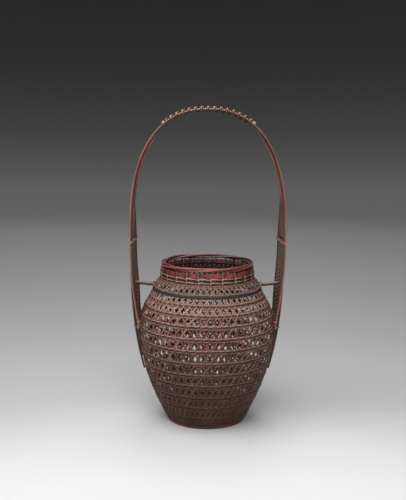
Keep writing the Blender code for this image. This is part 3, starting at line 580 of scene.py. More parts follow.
def shoulder_hoop():
    """A hoop wound with fine strand: an oval section whose size swells as the absolute sine of a phase that
    runs along the hoop and round it."""
    turns, sides = 260, 14
    height, radius = SHOULDER_HOOP
    angle = full_turn(4 * turns)
    ridge = np.abs(np.sin(turns * angle[:, None] / 2 + section_turn(sides) / 2))
    path = round_path(angle, radius - 0.9 * MM, height)[None]
    profile = oval(2.25 * MM, 0.95 * MM, sides) * (1 + 0.16 * (ridge - 0.5))[..., None]
    points = carried(path, outwards(angle)[None], profile[None], closed=True)
    wear_and_shade = (ridge * crown_of(sides))[None]
    made = strands(
        "shoulder_hoop_winding", points, finishes["black"], closed=True, tone=tones(61, 1),
        wear_and_shade=wear_and_shade,
    )
    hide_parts("shoulder_hoop")


def shoulder_line():
    """The pale line over the hoop: one finely twined row."""
    height = SHOULDER_HOOP[0] + 3.1 * MM
    radius = body_radius(height) + 0.1 * MM
    row = twined_row(
        height, radius, 2.2 * MM, 0.6 * MM, 0.85 * MM, phase=0.4, turns=58, sides=6, steps=464
    )
    points, wear_and_shade = joined_rows([row])
    made = strands(
        "shoulder_line_strands", points, finishes["pale"], closed=True, tone=[0.1, 0.4],
        wear_and_shade=worn_by(wear_and_shade, 0.6),
    )
    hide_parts("shoulder_line")


def neck_row():
    """The band at the foot of the neck: two twined rows, the upper one on a smaller circle."""
    points, wear_and_shade = joined_rows(
        [
            twined_row(NECK_ROW - 0.9 * MM, 0.0683, 2.2 * MM, 0.72 * MM, 0.85 * MM, phase=1.1),
            twined_row(NECK_ROW + 0.8 * MM, 0.0668, 2.2 * MM, 0.72 * MM, 0.8 * MM, phase=2.6),
        ]
    )
    made = strands(
        "neck_row_strands", points, finishes["lacing"], closed=True,
        tone=[0.0, 0.15, 0.2, 0.0], wear_and_shade=worn_by(wear_and_shade, 0.45),
    )
    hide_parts("neck_base_band")


shoulder_hoop()
shoulder_line()
neck_row()


# Neck rods, collar strips, lacing and rim

LACINGS = 24
ROD = 1.3 * MM
ROD_LOW = 0.2066
ROD_HIGH = 0.2116
COLLAR_LOW = ROD_HIGH + ROD + 0.3 * MM
COLLAR_HIGH = COLLAR_LOW + 5.6 * MM
LACING_TURN = math.radians(4.0)


def neck_rod(name, node_name, height, seed):
    """Rod round the neck whose height slopes from lacing to lacing and steps back under each of them, where
    it is also thinner. It is worn palest just after a lacing, and has painted shade on the side that faces
    in."""
    angle = full_turn(576)
    share = np.mod((angle - LACING_TURN) * LACINGS / (2 * np.pi), 1.0)
    slope = np.interp(share, (0.0, 0.08, 0.92, 1.0), (0.0, 0.5, -0.5, 0.0))
    level = height + 1.1 * MM * slope * (0.6 + 0.6 * np.sin(2 * angle + seed))
    radius = NECK + 0.3 * MM + ROD + 0.2 * MM * np.cos(2 * np.pi * share)
    thin = 0.95 - 0.30 * share**2
    path = round_path(angle, radius, level)[None]
    profile = (oval(ROD * 0.95, ROD * 0.85, 10) * thin[:, None, None])[None]
    points = carried(path, outwards(angle)[None], profile, closed=True)
    tone = (0.35 + 0.35 * np.sin(3 * angle + seed) - 0.5 * share)[None]
    # Wear on the outer side, painted shade on the side that faces in
    wear_and_shade = 0.65 * crown_of(10) * (1.25 - share)[:, None] - 0.9 * np.clip(-facing_of(10), 0.0, 1.0)
    made = strands(name, points, finishes["lacing"], closed=True, tone=tone, wear_and_shade=wear_and_shade)
    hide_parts(node_name)


neck_rod("lower_rod_strand", "neck_rod_lower", ROD_LOW, 1.0)
neck_rod("upper_rod_strand", "neck_rod_upper", ROD_HIGH, 2.2)


def collar_strip(name, node_name, radius, finish, seed):
    """Flat lacquered strip round the neck: a crowned section on a circle, with a faint wave in its height. It
    is brightest midway between two lacings."""
    angle = full_turn(192)
    level = (COLLAR_LOW + COLLAR_HIGH) / 2 + 0.15 * MM * np.sin(4 * angle + seed)
    path = round_path(angle, radius, level)[None]
    turn = section_turn(16)
    half_width = 2.75 * MM
    wide = half_width * signed_power(np.cos(turn), 0.5)
    deep = 0.58 * MM * signed_power(np.sin(turn), 0.5)
    points = carried(path, outwards(angle)[None], np.stack([wide, deep], -1), closed=True)
    edge = np.clip((np.abs(wide) / half_width) ** 6, 0.0, 1.0)
    panel = np.mod((angle - LACING_TURN) * LACINGS / (2 * np.pi), LACINGS)
    bright = tones(int(10 * seed), LACINGS)[panel.astype(int)]
    tone = 0.9 * np.sin(np.pi * panel) ** 2 * (0.25 + 0.75 * bright) + 0.1 * np.sin(17 * angle) - 0.05
    made = strands(name, points, finish, closed=True, tone=tone[None], wear_and_shade=edge)
    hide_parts(node_name)


collar_strip("collar_splint_outer", "collar_strip_outer", NECK + 0.9 * MM, finishes["lacquer"], 0.5)
collar_strip("collar_splint_inner", "collar_strip_inner", NECK - 2.7 * MM, finishes["dark_lacquer"], 2.0)


def smooth_line(knots, steps):
    """A smooth line through knots, by Catmull-Rom pieces of a set number of steps."""
    knots = np.concatenate([2 * knots[:1] - knots[1:2], knots, 2 * knots[-1:] - knots[-2:-1]])
    share = np.linspace(0.0, 1.0, steps, endpoint=False)[:, None]
    a, b, c, d = knots[:-3, None], knots[1:-2, None], knots[2:-1, None], knots[3:, None]
    squared, cubed = (2 * a - 5 * b + 4 * c - d) * share**2, (3 * b - a - 3 * c + d) * share**3
    line = 0.5 * (2 * b + (c - a) * share + squared + cubed)
    return np.concatenate([line.reshape(-1, knots.shape[1]), knots[-2:-1]])


def lacings():
    """Each lacing is a smooth loop through its knots: up outside over rods and collar strip, in under the
    rim, down inside and back out. It is worn on the two knobs where it crosses the rods."""
    over_rods = NECK + 0.3 * MM + 2 * ROD + 0.65 * MM
    over_strip = NECK + 2.15 * MM
    inside = NECK - 3.95 * MM
    knots = np.array(
        [
            (NECK - 1.4 * MM, ROD_LOW - 2.0 * MM),
            (over_rods - 0.9 * MM, ROD_LOW - 1.9 * MM),
            (over_rods, ROD_LOW),
            (over_rods - 0.5 * MM, (ROD_LOW + ROD_HIGH) / 2),
            (over_rods, ROD_HIGH),
            (over_strip, COLLAR_LOW + 1.4 * MM),
            (over_strip, COLLAR_HIGH - 0.4 * MM),
            (NECK - 0.9 * MM, COLLAR_HIGH + 1.0 * MM),
            (inside, COLLAR_HIGH - 0.8 * MM),
            (inside, COLLAR_LOW + 0.6 * MM),
            (NECK - 1.4 * MM, COLLAR_LOW - 1.0 * MM),
        ]
    )
    line = smooth_line(knots, 5)
    sway = np.random.default_rng(5)
    angle = 2 * np.pi * np.arange(LACINGS) / LACINGS + LACING_TURN + sway.normal(0.0, 0.022, LACINGS)
    lean = sway.normal(0.0, 0.012, (LACINGS, 1)) * np.linspace(-1, 1, len(line))
    angle = angle[:, None] + lean
    path = round_path(angle, line[:, 0], line[:, 1])
    side = with_zero(np.cos(angle), np.sin(angle))
    out = unit(np.cross(directions(path, False), side))
    points = carried(path, out, oval(1.0 * MM, 0.55 * MM, 8))
    middle = points.mean(2, keepdims=True)
    lifted = np.linalg.norm(points[..., :2], axis=-1) - np.linalg.norm(middle[..., :2], axis=-1)
    knob = sum(np.exp(-(((middle[..., 2] - level) / (1.3 * MM)) ** 2)) for level in (ROD_LOW, ROD_HIGH))
    wear_and_shade = np.clip(lifted / (0.5 * MM), 0.0, 1.0) * (0.15 + 1.1 * knob)
    tone = 0.9 * tones(71, LACINGS) - 0.3
    made = strands("collar_lacing_strands", points, finishes["lacing"], tone=tone, wear_and_shade=wear_and_shade)
    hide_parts("collar_lacing")


lacings()


RIM_HEIGHT = 0.2233
RIM_LAY = 1.963 * MM
RIM_TONES = (0.32, -0.20, -0.05)


def rim_strand(number, seed):
    """A rim strand: on the rim's circle, carried round it on a small circle of its own twice on the way."""
    angle = full_turn(300)
    phase = 2 * angle + 2 * np.pi * number / 3 + np.pi
    radius = NECK - 0.9 * MM + RIM_LAY * np.cos(phase)
    level = RIM_HEIGHT + RIM_LAY * np.sin(phase)
    path = np.stack([radius * np.cos(angle), radius * np.sin(angle), level], -1)[None]
    out = with_zero(np.cos(angle), np.sin(angle))[None]
    thick = (1 + 0.07 * np.sin(9 * angle + seed))[:, None, None]
    points = carried(path, out, (oval(1.5 * MM, 1.45 * MM, 12) * thick)[None], closed=True)
    middle = points.mean(2, keepdims=True)
    # Paler upper side, partly wear and partly a painted highlight of the light from above
    wear_and_shade = np.clip((points[..., 2] - middle[..., 2]) / (1.5 * MM), 0.0, 1.0)
    near = -np.sin(angle)
    tone = (RIM_TONES[number - 1] + 0.26 * near + 0.25 * np.sin(3 * angle + seed))[None]
    # Painted shade on the underside
    under = np.clip((middle[..., 2] - points[..., 2]) / (1.5 * MM) - 0.2, 0.0, 1.0)
    wear_and_shade = wear_and_shade * (1.0 - 0.35 * near + 0.35 * np.sin(5 * angle + seed))[:, None] - 0.8 * under
    name = f"twisted_rim_strand_{number}"
    made = strands(name, points, finishes["lacquer"], closed=True, tone=tone, wear_and_shade=wear_and_shade)
    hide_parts(f"rim_strand_{number}")


for number in (1, 2, 3):
    rim_strand(number, 1.7 * number)


# Handle: the arch line and the pieces that follow it

ARCH_HALF_SPAN = BELLY + 10.8 * MM
ARCH_RISE = 0.1575
ARCH_ROUNDNESS = 2.35
SPRING = FOOT + 1.4147 * BODY
TIE = FOOT + 1.2990 * BODY
ROD_TIP = FOOT + 0.659 * BODY
CORE_TIP = FOOT + 0.333 * BODY
LASHING = FOOT + 0.7125 * BODY
PANEL_LOW = FOOT + 0.743 * BODY
PANEL_TAIL = FOOT + 0.430 * BODY
ROD_BEND = FOOT + 0.980 * BODY
HANDLE_ROD = 1.8 * MM
GRIP_SPREAD = 6.0 * MM


def arch_at(share):
    """The height at a share of the arch's rise above its spring."""
    return SPRING + share * ARCH_RISE


def passed(height, high, low):
    """0 above the high level, easing to 1 below the low one."""
    return ease((high - height) / (high - low))


def arch_line(lowest, steps):
    """Right half of the arch from its crown down to a height, in even steps: a superellipse (cosine and sine
    to a power of 2 over the roundness), then upright."""
    turn = np.linspace(np.pi / 2, 0.0, 1600)
    x = ARCH_HALF_SPAN * np.clip(np.cos(turn), 0.0, None) ** (2 / ARCH_ROUNDNESS)
    z = arch_at(np.clip(np.sin(turn), 0.0, None) ** (2 / ARCH_ROUNDNESS))
    x, z = np.append(x, ARCH_HALF_SPAN), np.append(z, lowest)
    run = np.concatenate([[0.0], np.cumsum(np.hypot(np.diff(x), np.diff(z)))])
    even = np.linspace(0.0, run[-1], steps)
    return np.stack([np.interp(even, run, x), 0 * even, np.interp(even, run, z)], -1)


def arch_normals(path):
    """Outward directions in the arch's plane: the path's direction seen from in front, turned a quarter."""
    along = directions(path, False)
    along[:, 1] = 0.0
    along = unit(along)
    return np.stack([-along[:, 2], 0 * along[:, 1], along[:, 0]], -1)


def leg_spread(height):
    """0 at the grip, easing to 1 at the leg tie."""
    return passed(height, arch_at(0.775), TIE)


def core_taper(height):
    """1 above, easing to 0 at the strip's tip."""
    return 1 - passed(height, FOOT + 0.559 * BODY, CORE_TIP)


def core_width(height):
    """Width of the lacquered strip: 7 mm at the grip, 11 at the leg tie, 5 at its tip."""
    wide = 7.0 * MM + 4.0 * MM * leg_spread(height)
    return 5.0 * MM + (wide - 5.0 * MM) * core_taper(height)


def core_thickness(height):
    """Thickness of the strip: 2.6 mm, thinning to 2.4 at its tip."""
    return 2.4 * MM + 0.2 * MM * core_taper(height)


def core_out(height):
    """How far the strip's line lies outside the arch line: 0 at the crown, 2.9 mm inside it under the grip,
    1.4 mm outside it on the legs, and less by a cube of the way down from the spring."""
    leaves = passed(height, arch_at(0.870), arch_at(0.730))
    crosses = passed(height, arch_at(0.108), FOOT + 1.136 * BODY)
    down = np.clip((SPRING - height) / (SPRING - FOOT - 0.454 * BODY), 0.0, None)
    return 1.4 * MM * crosses - 2.9 * MM * leaves * (1 - crosses) - 13.3 * MM * down**3


def rod_out(height, front):
    """How far a rod's line lies outside the arch line: less by a square of the way down from the tie, and
    the back rod is set in a little more."""
    down = np.clip((TIE - height) / (TIE - ROD_TIP), 0.0, None)
    tip = passed(height, ROD_BEND, ROD_TIP)
    set_in = 4.1 * MM * passed(height, arch_at(0.425), TIE) * (1 - tip)
    return -12.5 * MM * down**2 - (0.0 if front else 1.0) * set_in


def seated(half, spread, half_depth):
    """Keeps the leg's points clear of the twined rows: under the spring, X is at least that of a circle round
    the body, half a millimetre and the piece's half depth outside it, at that spread in Y."""
    reach = body_radius(half[:, 2]) + 0.5 * MM + half_depth
    seat = np.sqrt(np.clip(reach**2 - spread**2, 0.0, None))
    half[:, 0] = np.where(half[:, 2] < SPRING, np.maximum(half[:, 0], seat), half[:, 0])
    return half


def core_half(lowest=CORE_TIP):
    """Middle line of the strip's right half: the arch line, moved out along its normals."""
    line = arch_line(lowest, 180)
    height = line[:, 2].copy()
    half = line + arch_normals(line) * core_out(height)[:, None]
    return seated(half, 0.0, core_thickness(height) / 2)


def rod_half(front, steps):
    """Middle line of a rod's right half: the arch line moved out along its normals, and 6 mm to one side at
    the grip, 24.5 mm at the leg tie and 21 mm at its tip."""
    line = arch_line(ROD_TIP, steps)
    height = line[:, 2].copy()
    spread = GRIP_SPREAD + 18.5 * MM * leg_spread(height)
    spread = spread - 3.5 * MM * passed(height, ROD_BEND, ROD_TIP)
    half = line + arch_normals(line) * rod_out(height, front)[:, None]
    half[:, 1] = -spread if front else spread
    return seated(half, spread, HANDLE_ROD)


def both_sides(half):
    """The right half joined to its mirror image, from the left tip over the crown to the right one."""
    return np.concatenate([half[::-1] * np.array([-1.0, 1.0, 1.0]), half[1:]])


# Where the bamboo's nodes swell, along the strip from its left tip
BAMBOO_NODES = np.array([0.115, 0.262, 0.402, 0.530])


def handle_core():
    """The lacquered strip: a rounded flat section carried over the arch, swelling at the bamboo's nodes."""
    path = both_sides(core_half())
    height = path[:, 2]
    out = arch_normals(path)
    run = run_along(path)
    swell = np.exp(-(((run[:, None] - BAMBOO_NODES) / (1.6 * MM)) ** 2)).sum(1)
    turn = section_turn(16)
    square = signed_power(np.stack([np.cos(turn), np.sin(turn)], -1), 0.45)
    half_width = core_width(height) / 2 * (1 + 0.02 * swell)
    half_depth = core_thickness(height) / 2 * (1 + 0.22 * swell)
    section = square * np.stack([half_width, half_depth], -1)[:, None]
    points = path[:, None] + section[..., :1] * np.array([0.0, 1.0, 0.0]) + section[..., 1:] * out[:, None]
    tail = passed(height, 0.165, 0.140)
    edge = np.clip(np.abs(square[:, 0]) ** 8, 0.0, 1.0) * (0.7 - 0.35 * tail[:, None])
    tone = 0.27 + 0.25 * np.sin(run / 0.021) + 0.2 * np.sin(run / 0.0083) - 0.5 * swell - 0.45 * tail
    made = strands(
        "handle_strip", points[None], finishes["lacquer"], tone=np.maximum(tone, -0.3)[None],
        wear_and_shade=edge,
    )
    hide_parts("handle_core")


handle_core()


def wound_rod(name, node_name, front, finish, seed):
    """A rod wound with fine strand: its radius swells as the absolute sine of a phase that runs along and
    round. It is paler on its ridges and on the side turned up and out, partly wear and partly a painted
    highlight, and has painted shade in its grooves and on the side turned in."""
    path = both_sides(rod_half(front, 1500))
    run = run_along(path)
    side = section_turn(8)
    pitch = 2.8 * MM
    ridge = np.abs(np.sin(np.pi * run[:, None] / pitch + side / 2))
    size = HANDLE_ROD * (0.82 + 0.20 * ridge)
    profile = np.stack([np.cos(side), np.sin(side)], -1) * size[..., None]
    points = carried(path, arch_normals(path), profile)
    # Painted highlight on ridges turned up and out, painted shade in the grooves and on the side turned in,
    # strongest on the arch
    facing = facing_of(8)
    arch = 0.25 + 0.70 * ease((path[:, 2:] - SPRING) / 0.10)
    turned_in = np.clip(0.15 + 0.25 * arch - facing, 0.0, 0.6) / 0.6
    wear_and_shade = 1.15 * ridge**2 * np.clip(0.35 + 0.65 * facing, 0.0, 1.0) - arch * turned_in
    wear_and_shade = wear_and_shade - 0.9 * (1 - ridge) ** 1.3
    # The ridges are also painted lighter than the grooves
    tone = 0.25 + 0.2 * np.sin(run[:, None] / 0.013 + seed) + 0.6 * (ridge - 0.5)
    made = strands(name, points[None], finish, tone=tone[None], wear_and_shade=wear_and_shade[None])
    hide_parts(node_name)


wound_rod("front_rod_winding", "handle_rod_front", True, finishes["wound_rod"], 0.3)
# The back rod gets the darker copy of the winding, painted shade
wound_rod("back_rod_winding", "handle_rod_back", False, finishes["shaded_back_rod"], 2.1)


def at_heights(rail, heights):
    """The points of a line that runs down, at given heights."""
    return np.stack([np.interp(-heights, -rail[:, 2], rail[:, axis]) for axis in range(3)], -1)


def rods_at(heights):
    """The front and the back rod's points at given heights."""
    return [at_heights(rod_half(front, 400), heights) for front in (True, False)]


def leg_splints(word, side_word, sign):
    """Three narrow splints side by side, at a sixth, half and five sixths of the way from core to rod, from
    below the grip down to the leg tie."""
    heights = np.linspace(arch_at(0.533), TIE + 1.7 * MM, 60)
    core = at_heights(core_half(ROD_TIP), heights)
    rod = at_heights(rod_half(word == "front", 400), heights)
    across = unit(rod - core)
    clear = core_width(heights) / 2 + 1.0 * MM
    start = core + across * (clear / np.abs(across[:, 1]))[:, None]
    end = rod - across * (HANDLE_ROD + 0.3 * MM)
    deep = unit(np.stack([across[:, 1], -across[:, 0], 0 * heights], -1))
    deep *= np.sign(deep[:, :1])
    path = np.stack([start + (end - start) * share for share in (1 / 6, 1 / 2, 5 / 6)])
    width = np.linalg.norm(end - start, axis=1) / 6 - 0.08 * MM
    section = splint_section(width, 0.6 * MM)
    points = path[:, :, None] + section[..., :1] * across[:, None] + section[..., 1:] * deep[:, None]
    points = points * np.array([sign, 1, 1])
    wear_and_shade = np.array([0.3, 0.8, 0.3, 0.8, 0.3, 0, 0, 0])
    name = f"leg_splints_{word}_{side_word}"
    made = strands(name, points, finishes["grey_splints"], tone=[0.2, 0.7, 0.4], wear_and_shade=wear_and_shade)
    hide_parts(f"splints_{word}_{side_word}")


def leg_panel(side_word, sign):
    """A twined panel from front rod to back rod behind the core, narrowing to a tail below the rods. Its
    outer and inner faces are one closed sheet whose relief is the sine across the warps times the sine along
    the wefts. The crests of the relief are worn and its dips get painted shade."""
    heights = np.linspace(TIE - 1.7 * MM, PANEL_TAIL, 400)
    core = at_heights(core_half(), heights)
    face = core - np.array([1.0, 0.0, 0.0]) * (core_thickness(heights) / 2 + 0.3 * MM)[:, None]
    edges = []
    for rod in rods_at(heights):
        across = face - rod
        across[:, 2] = 0.0
        edges.append(rod + unit(across) * (HANDLE_ROD + 1.0 * MM))
    half = np.stack([0 * heights, core_width(heights) / 2, 0 * heights], -1)
    corners = np.stack([edges[0], face - half, face + half, edges[1]], 1)
    last = int((heights > PANEL_LOW).sum()) - 1
    narrow = ease((PANEL_LOW - heights) / (12.0 * MM))[:, None, None]
    tail = np.stack([face - 1.2 * half, face - half / 2, face + half / 2, face + 1.2 * half], 1)
    spread = face[:, None] + (corners[last] - face[last])
    corners = np.where(np.arange(len(heights))[:, None, None] > last, spread, corners)
    corners = corners * (1 - narrow) + tail * narrow
    share = np.linspace(0.0, 3.0, 43)
    low = np.minimum(share.astype(int), 2)
    line = corners[:, low] * (1 - share + low)[:, None] + corners[:, low + 1] * (share - low)[:, None]
    line = line - np.array([0.5 * MM, 0.0, 0.0])
    warp, weft = np.meshgrid(share / 3 * 8, (heights[0] - heights) / (2.8 * MM))
    weave = np.sin(np.pi * warp) * np.sin(np.pi * weft)
    shift = (0.30 * MM * weave + 0.40 * MM)[..., None] * np.array([1.0, 0.0, 0.0])
    outer, inner = line + shift, line - shift
    body = np.sqrt((body_radius(line[..., 2]) + 0.25 * MM) ** 2 - line[..., 1] ** 2)
    close = line[..., 0] + 0.35 * MM
    narrow = narrow[..., 0]
    outer[..., 0] = outer[..., 0] * (1 - narrow) + np.minimum(outer[..., 0], close) * narrow
    inner[..., 0] = inner[..., 0] * (1 - narrow) + np.minimum(body, close - 0.1 * MM) * narrow
    points = np.concatenate([outer, inner[:, ::-1]], 1)
    points = points * np.array([sign, 1, 1])
    # Wear on the crests of the weave, painted shade in its dips
    outside, inside = np.where(weave > 0, weave, 0.7 * weave), np.where(weave < 0, -weave, -0.7 * weave)
    wear_and_shade = np.concatenate([outside, inside[:, ::-1]], 1)
    name = f"woven_leg_panel_{side_word}"
    made = strands(name, points[None], finishes["panel"], tone=[0.5], wear_and_shade=wear_and_shade[None])
    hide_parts(f"leg_panel_{side_word}")


for side_word, sign in SIDES:
    for word in ("front", "back"):
        leg_splints(word, side_word, sign)
    leg_panel(side_word, sign)


# Ties, lashings, grip and pegs


# Knots of the tie's loose end, in mm from the front rod
TIE_CURL = ((1.0, -1.9, 3.5), (2.6, -2.2, 1.8), (2.9, -2.0, -1.2), (1.6, -2.6, -3.0), (0.6, -2.6, -1.0))


def leg_tie(side_word, sign):
    """Four turns round both rods and the core, on a smooth loop of two half circles and two points over the
    core. A loose end curls outside the front rod."""
    core = at_heights(core_half(ROD_TIP), np.array([TIE]))[0]
    front, back = (rod[0] for rod in rods_at(np.array([TIE])))
    around = HANDLE_ROD + 0.75 * MM
    turn = np.linspace(0.0, np.pi, 9)
    half = core_width(TIE) / 2
    over = core[0] + core_thickness(TIE) / 2 + 0.8 * MM
    first = front[:2] + around * np.stack([np.cos(-turn), np.sin(-turn)], -1)
    second = back[:2] + around * np.stack([np.cos(np.pi - turn), np.sin(np.pi - turn)], -1)
    loop = np.concatenate([first, second, [[over, half], [over, -half]]])
    loop = smooth_line(np.concatenate([loop, loop[:1]]), 4)[:-1]
    points = np.tile(loop, (4, 1))
    rise = np.linspace(-1.9 * MM, 1.9 * MM, len(points))
    path = np.concatenate([points * np.array([sign, 1]), (TIE + rise)[:, None]], 1)
    middle = np.array([sign * (front[0] + back[0]) / 2, 0.0, TIE])
    out = unit((path - middle) * np.array([1, 1, 0]))
    lifted = carried(path, out, oval(0.5 * MM, 0.5 * MM, 6))
    made = strands(
        f"leg_tie_turns_{side_word}", lifted[None], finishes["lacing"], tone=[0.3],
        wear_and_shade=0.8 * crown_of(6),
    )
    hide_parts(f"leg_tie_{side_word}")
    curl = np.array(TIE_CURL) * MM
    line = smooth_line(np.array([front[0], front[1], TIE]) + curl, 6) * np.array([sign, 1, 1])
    turned_out = unit((line - np.array([sign * front[0], front[1], TIE])) * np.array([1, 1, 0]))
    points = carried(line, turned_out, oval(0.55 * MM, 0.5 * MM, 6))
    strands(
        f"leg_tie_end_{side_word}", points[None], finishes["pale"], tone=[0.7],
        wear_and_shade=crown_of(6),
    )


def leg_binding(side_word, sign, level, rise):
    """A thin strand that ties the leg to a twined row: from the row out round the core and back to the row,
    as a smooth line through eight knots."""
    core = at_heights(core_half(), np.array([level]))[0, 0] + core_thickness(level) / 2
    half = core_width(level) / 2
    far, halfway, near = 15.0 * MM, 11.0 * MM, half + 0.8 * MM
    body = [math.sqrt((body_radius(level) + 0.7 * MM) ** 2 - y * y) for y in (far, halfway)]
    side = [(body[0], far, rise), (body[1], halfway, rise / 2)]
    side += [(core + 0.1 * MM, near, 0.0), (core + 0.7 * MM, half / 2, 0.0)]
    knots = np.array([(x, -y, z) for x, y, z in side] + [(x, y, z) for x, y, z in side[::-1]])
    line = (smooth_line(knots, 6) + np.array([0.0, 0.0, level])) * np.array([sign, 1, 1])
    out = np.broadcast_to(np.array([float(sign), 0.0, 0.0]), line.shape)
    points = carried(line, out, oval(0.55 * MM, 0.5 * MM, 6))
    strands(
        f"leg_binding_{side_word}", points[None], finishes["pale"], tone=[0.8],
        wear_and_shade=crown_of(6),
    )


def rod_lashing(word, side_word, sign):
    """Three turns round the end of a rod: a circle that rises evenly."""
    middle = at_heights(rod_half(word == "front", 400), np.array([LASHING]))[0] * np.array([sign, 1, 1])
    angle = np.linspace(0.0, 6 * np.pi, 60)
    around = HANDLE_ROD + 0.6 * MM
    rise = np.linspace(-1.1, 1.1, 60) * MM
    path = middle + np.stack([around * np.cos(angle), around * np.sin(angle), rise], -1)
    out = with_zero(np.cos(angle), np.sin(angle))
    points = carried(path, out, oval(0.45 * MM, 0.42 * MM, 6))
    name = f"rod_lashing_turns_{word}_{side_word}"
    made = strands(name, points[None], finishes["lacing"], tone=[0.3], wear_and_shade=0.7 * crown_of(6))
    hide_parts(f"rod_lashing_{word}_{side_word}")


for side_word, sign in SIDES:
    leg_tie(side_word, sign)
    leg_binding(side_word, sign, BANDS[7][0] - 3.5 * MM, 3.5 * MM)
    for word in ("front", "back"):
        rod_lashing(word, side_word, sign)

GRIP_LENGTH = 0.1200
GRIP_TURNS = 14


def grip_line():
    """The arch above its spring, each point's distance from the crown along it, and its outward
    directions."""
    path = both_sides(arch_line(SPRING, 400))
    run = run_along(path)
    return path, run - run[-1] / 2, arch_normals(path)


def beside_grip(distance, across, up):
    """Points beside the arch line, by distance from the crown and by offsets across it and outwards."""
    path, run, normals = grip_line()
    point = np.stack([np.interp(distance, run, path[:, axis]) for axis in range(3)], -1)
    normal = unit(np.stack([np.interp(distance, run, normals[:, axis]) for axis in range(3)], -1))
    return point + across[:, None] * np.array([0.0, 1.0, 0.0]) + up[:, None] * normal, point


def stadium(share, radius):
    """The outline round both rods, two half circles joined by flats, by share of its length from the top
    middle."""
    turn = np.linspace(0.0, np.pi, 24)
    side, rise = GRIP_SPREAD + radius * np.sin(turn), radius * np.cos(turn)
    across = np.concatenate([[0.0], side, -side, [0.0]])
    up = np.concatenate([[radius], rise, -rise, [radius]])
    run = np.concatenate([[0.0], np.cumsum(np.hypot(np.diff(across), np.diff(up)))])
    place = np.mod(share, 1.0) * run[-1]
    return np.interp(place, run, across), np.interp(place, run, up)


def grip_binding():
    """One thick strand wound round both rods and the core, sliding evenly along the arch as it turns, with
    two narrower turns beyond each end. It gets a painted highlight on top, as pale wear and a lighter tone,
    and painted shade below."""
    steps = 36
    share = np.arange(GRIP_TURNS * steps + 1) / steps
    across, up = stadium(share, HANDLE_ROD + 0.5 * MM + 1.1 * MM)
    path, middle = beside_grip(GRIP_LENGTH * (share / GRIP_TURNS - 0.5), across, up)
    points = carried(path, unit(path - middle), oval(1.15 * MM, 1.05 * MM, 10))
    above = (up / up.max())[:, None]
    crown = crown_of(10)
    # Painted highlight on the top of each turn, painted shade underneath
    wear_and_shade = crown * np.clip(2.5 * above - 1.2, 0.0, 1.0) - 0.95 * ease(0.35 - 1.1 * above)
    # The tone is also painted lighter towards the top
    tone = 0.25 + 0.25 * np.sin(share * 2.7)[:, None] + 0.6 * np.clip(above, 0.0, 1.0) ** 3 + 0 * crown
    made = strands(
        "grip_winding", points[None], finishes["grip"], tone=tone[None], wear_and_shade=wear_and_shade[None]
    )
    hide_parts("grip_binding")
    for side_word, sign in SIDES:
        share = np.arange(0, 49) / 24
        across, up = stadium(share, HANDLE_ROD + 1.5 * MM)
        place = GRIP_LENGTH / 2 + 5.0 * MM + 1.3 * MM * (share - 1)
        path, middle = beside_grip(sign * place, across, up)
        points = carried(path, unit(path - middle), oval(0.95 * MM, 1.1 * MM, 8))
        above = (up / up.max())[:, None] + np.zeros(8)
        # Painted highlight on top, painted shade underneath
        wear_and_shade = np.clip(above, 0.0, 1.0) - 0.9 * ease(0.1 - above)
        made = strands(
            f"grip_end_turns_{side_word}", points[None], finishes["grip"],
            tone=0.35 + 0.4 * above[None], wear_and_shade=wear_and_shade[None],
        )
        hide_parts(f"grip_knot_{side_word}")


grip_binding()


# The tenon's height, and how far out the peg steps down to it
PEG_TENON = 0.19573
PEG_STEP = 0.0759


def peg(side_word, sign):
    """A round peg from the leg to the shoulder, with a stepped tenon, a little bent, and cut on a slant
    outside. Each station gives its distance from the axis, its radius, its level and the slant of its cut."""
    low, high = (np.array(corner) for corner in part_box(f"peg_{side_word}"))
    tip, far = sorted([abs(low[0]), abs(high[0])])
    far_level, near_level = high[2] - 2.6 * MM, high[2] - 2.6 * MM - 1.7 * MM
    stations = np.array(
        [
            (tip, 1.2 * MM, PEG_TENON, 0.0),
            (PEG_STEP - 0.1 * MM, 1.2 * MM, PEG_TENON, 0.0),
            (PEG_STEP, 2.1 * MM, near_level, 0.0),
            (PEG_STEP + 0.5 * MM, 2.5 * MM, near_level, 0.0),
            (PEG_STEP + 6 * MM, 2.55 * MM, near_level + 0.2 * MM, 0.0),
            (PEG_STEP + 12 * MM, 2.5 * MM, far_level - 0.6 * MM, 0.0),
            (far - 4.0 * MM, 2.6 * MM, far_level, 0.8 * MM),
            (far - 3.1 * MM, 2.45 * MM, far_level, 2.6 * MM),
        ]
    )
    turn = section_turn(20)
    x, size, level, slant = (stations[:, i, None] for i in range(4))
    across, up = size * np.cos(turn), size * np.sin(turn)
    points = np.stack([sign * (x + slant * np.sin(turn)), across, level + up], -1)
    # Paler upper side, partly wear and partly painted highlight, and painted shade on the underside
    made = strands(
        f"peg_round_{side_word}", points[None], finishes["lacing"], tone=[-0.1],
        wear_and_shade=0.6 * np.sin(turn) - 0.1,
    )
    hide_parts(f"peg_{side_word}")


for side_word, sign in SIDES:
    peg(side_word, sign)


# Base: hoop, woven mat and crossed splints


# The base hoop's section, in mm outwards from its radius and up, and how worn each point is
HOOP_SECTION = (
    (0.3, 5.5), (-0.4, 5.4), (-0.15, 4.6), (0.0, 3.0), (-0.1, 1.6), (-0.6, 0.5), (-1.2, 0.0), (-6.4, 0.0),
    (-7.3, 0.5), (-7.5, 1.4), (-7.5, 4.6), (-7.0, 5.4),
)
HOOP_WEAR = np.array([0.1, 0.3, 0.2, 0.3, 0.6, 1.0, 0.8, 0.1, 0.1, 0.1, 0.1, 0.1])


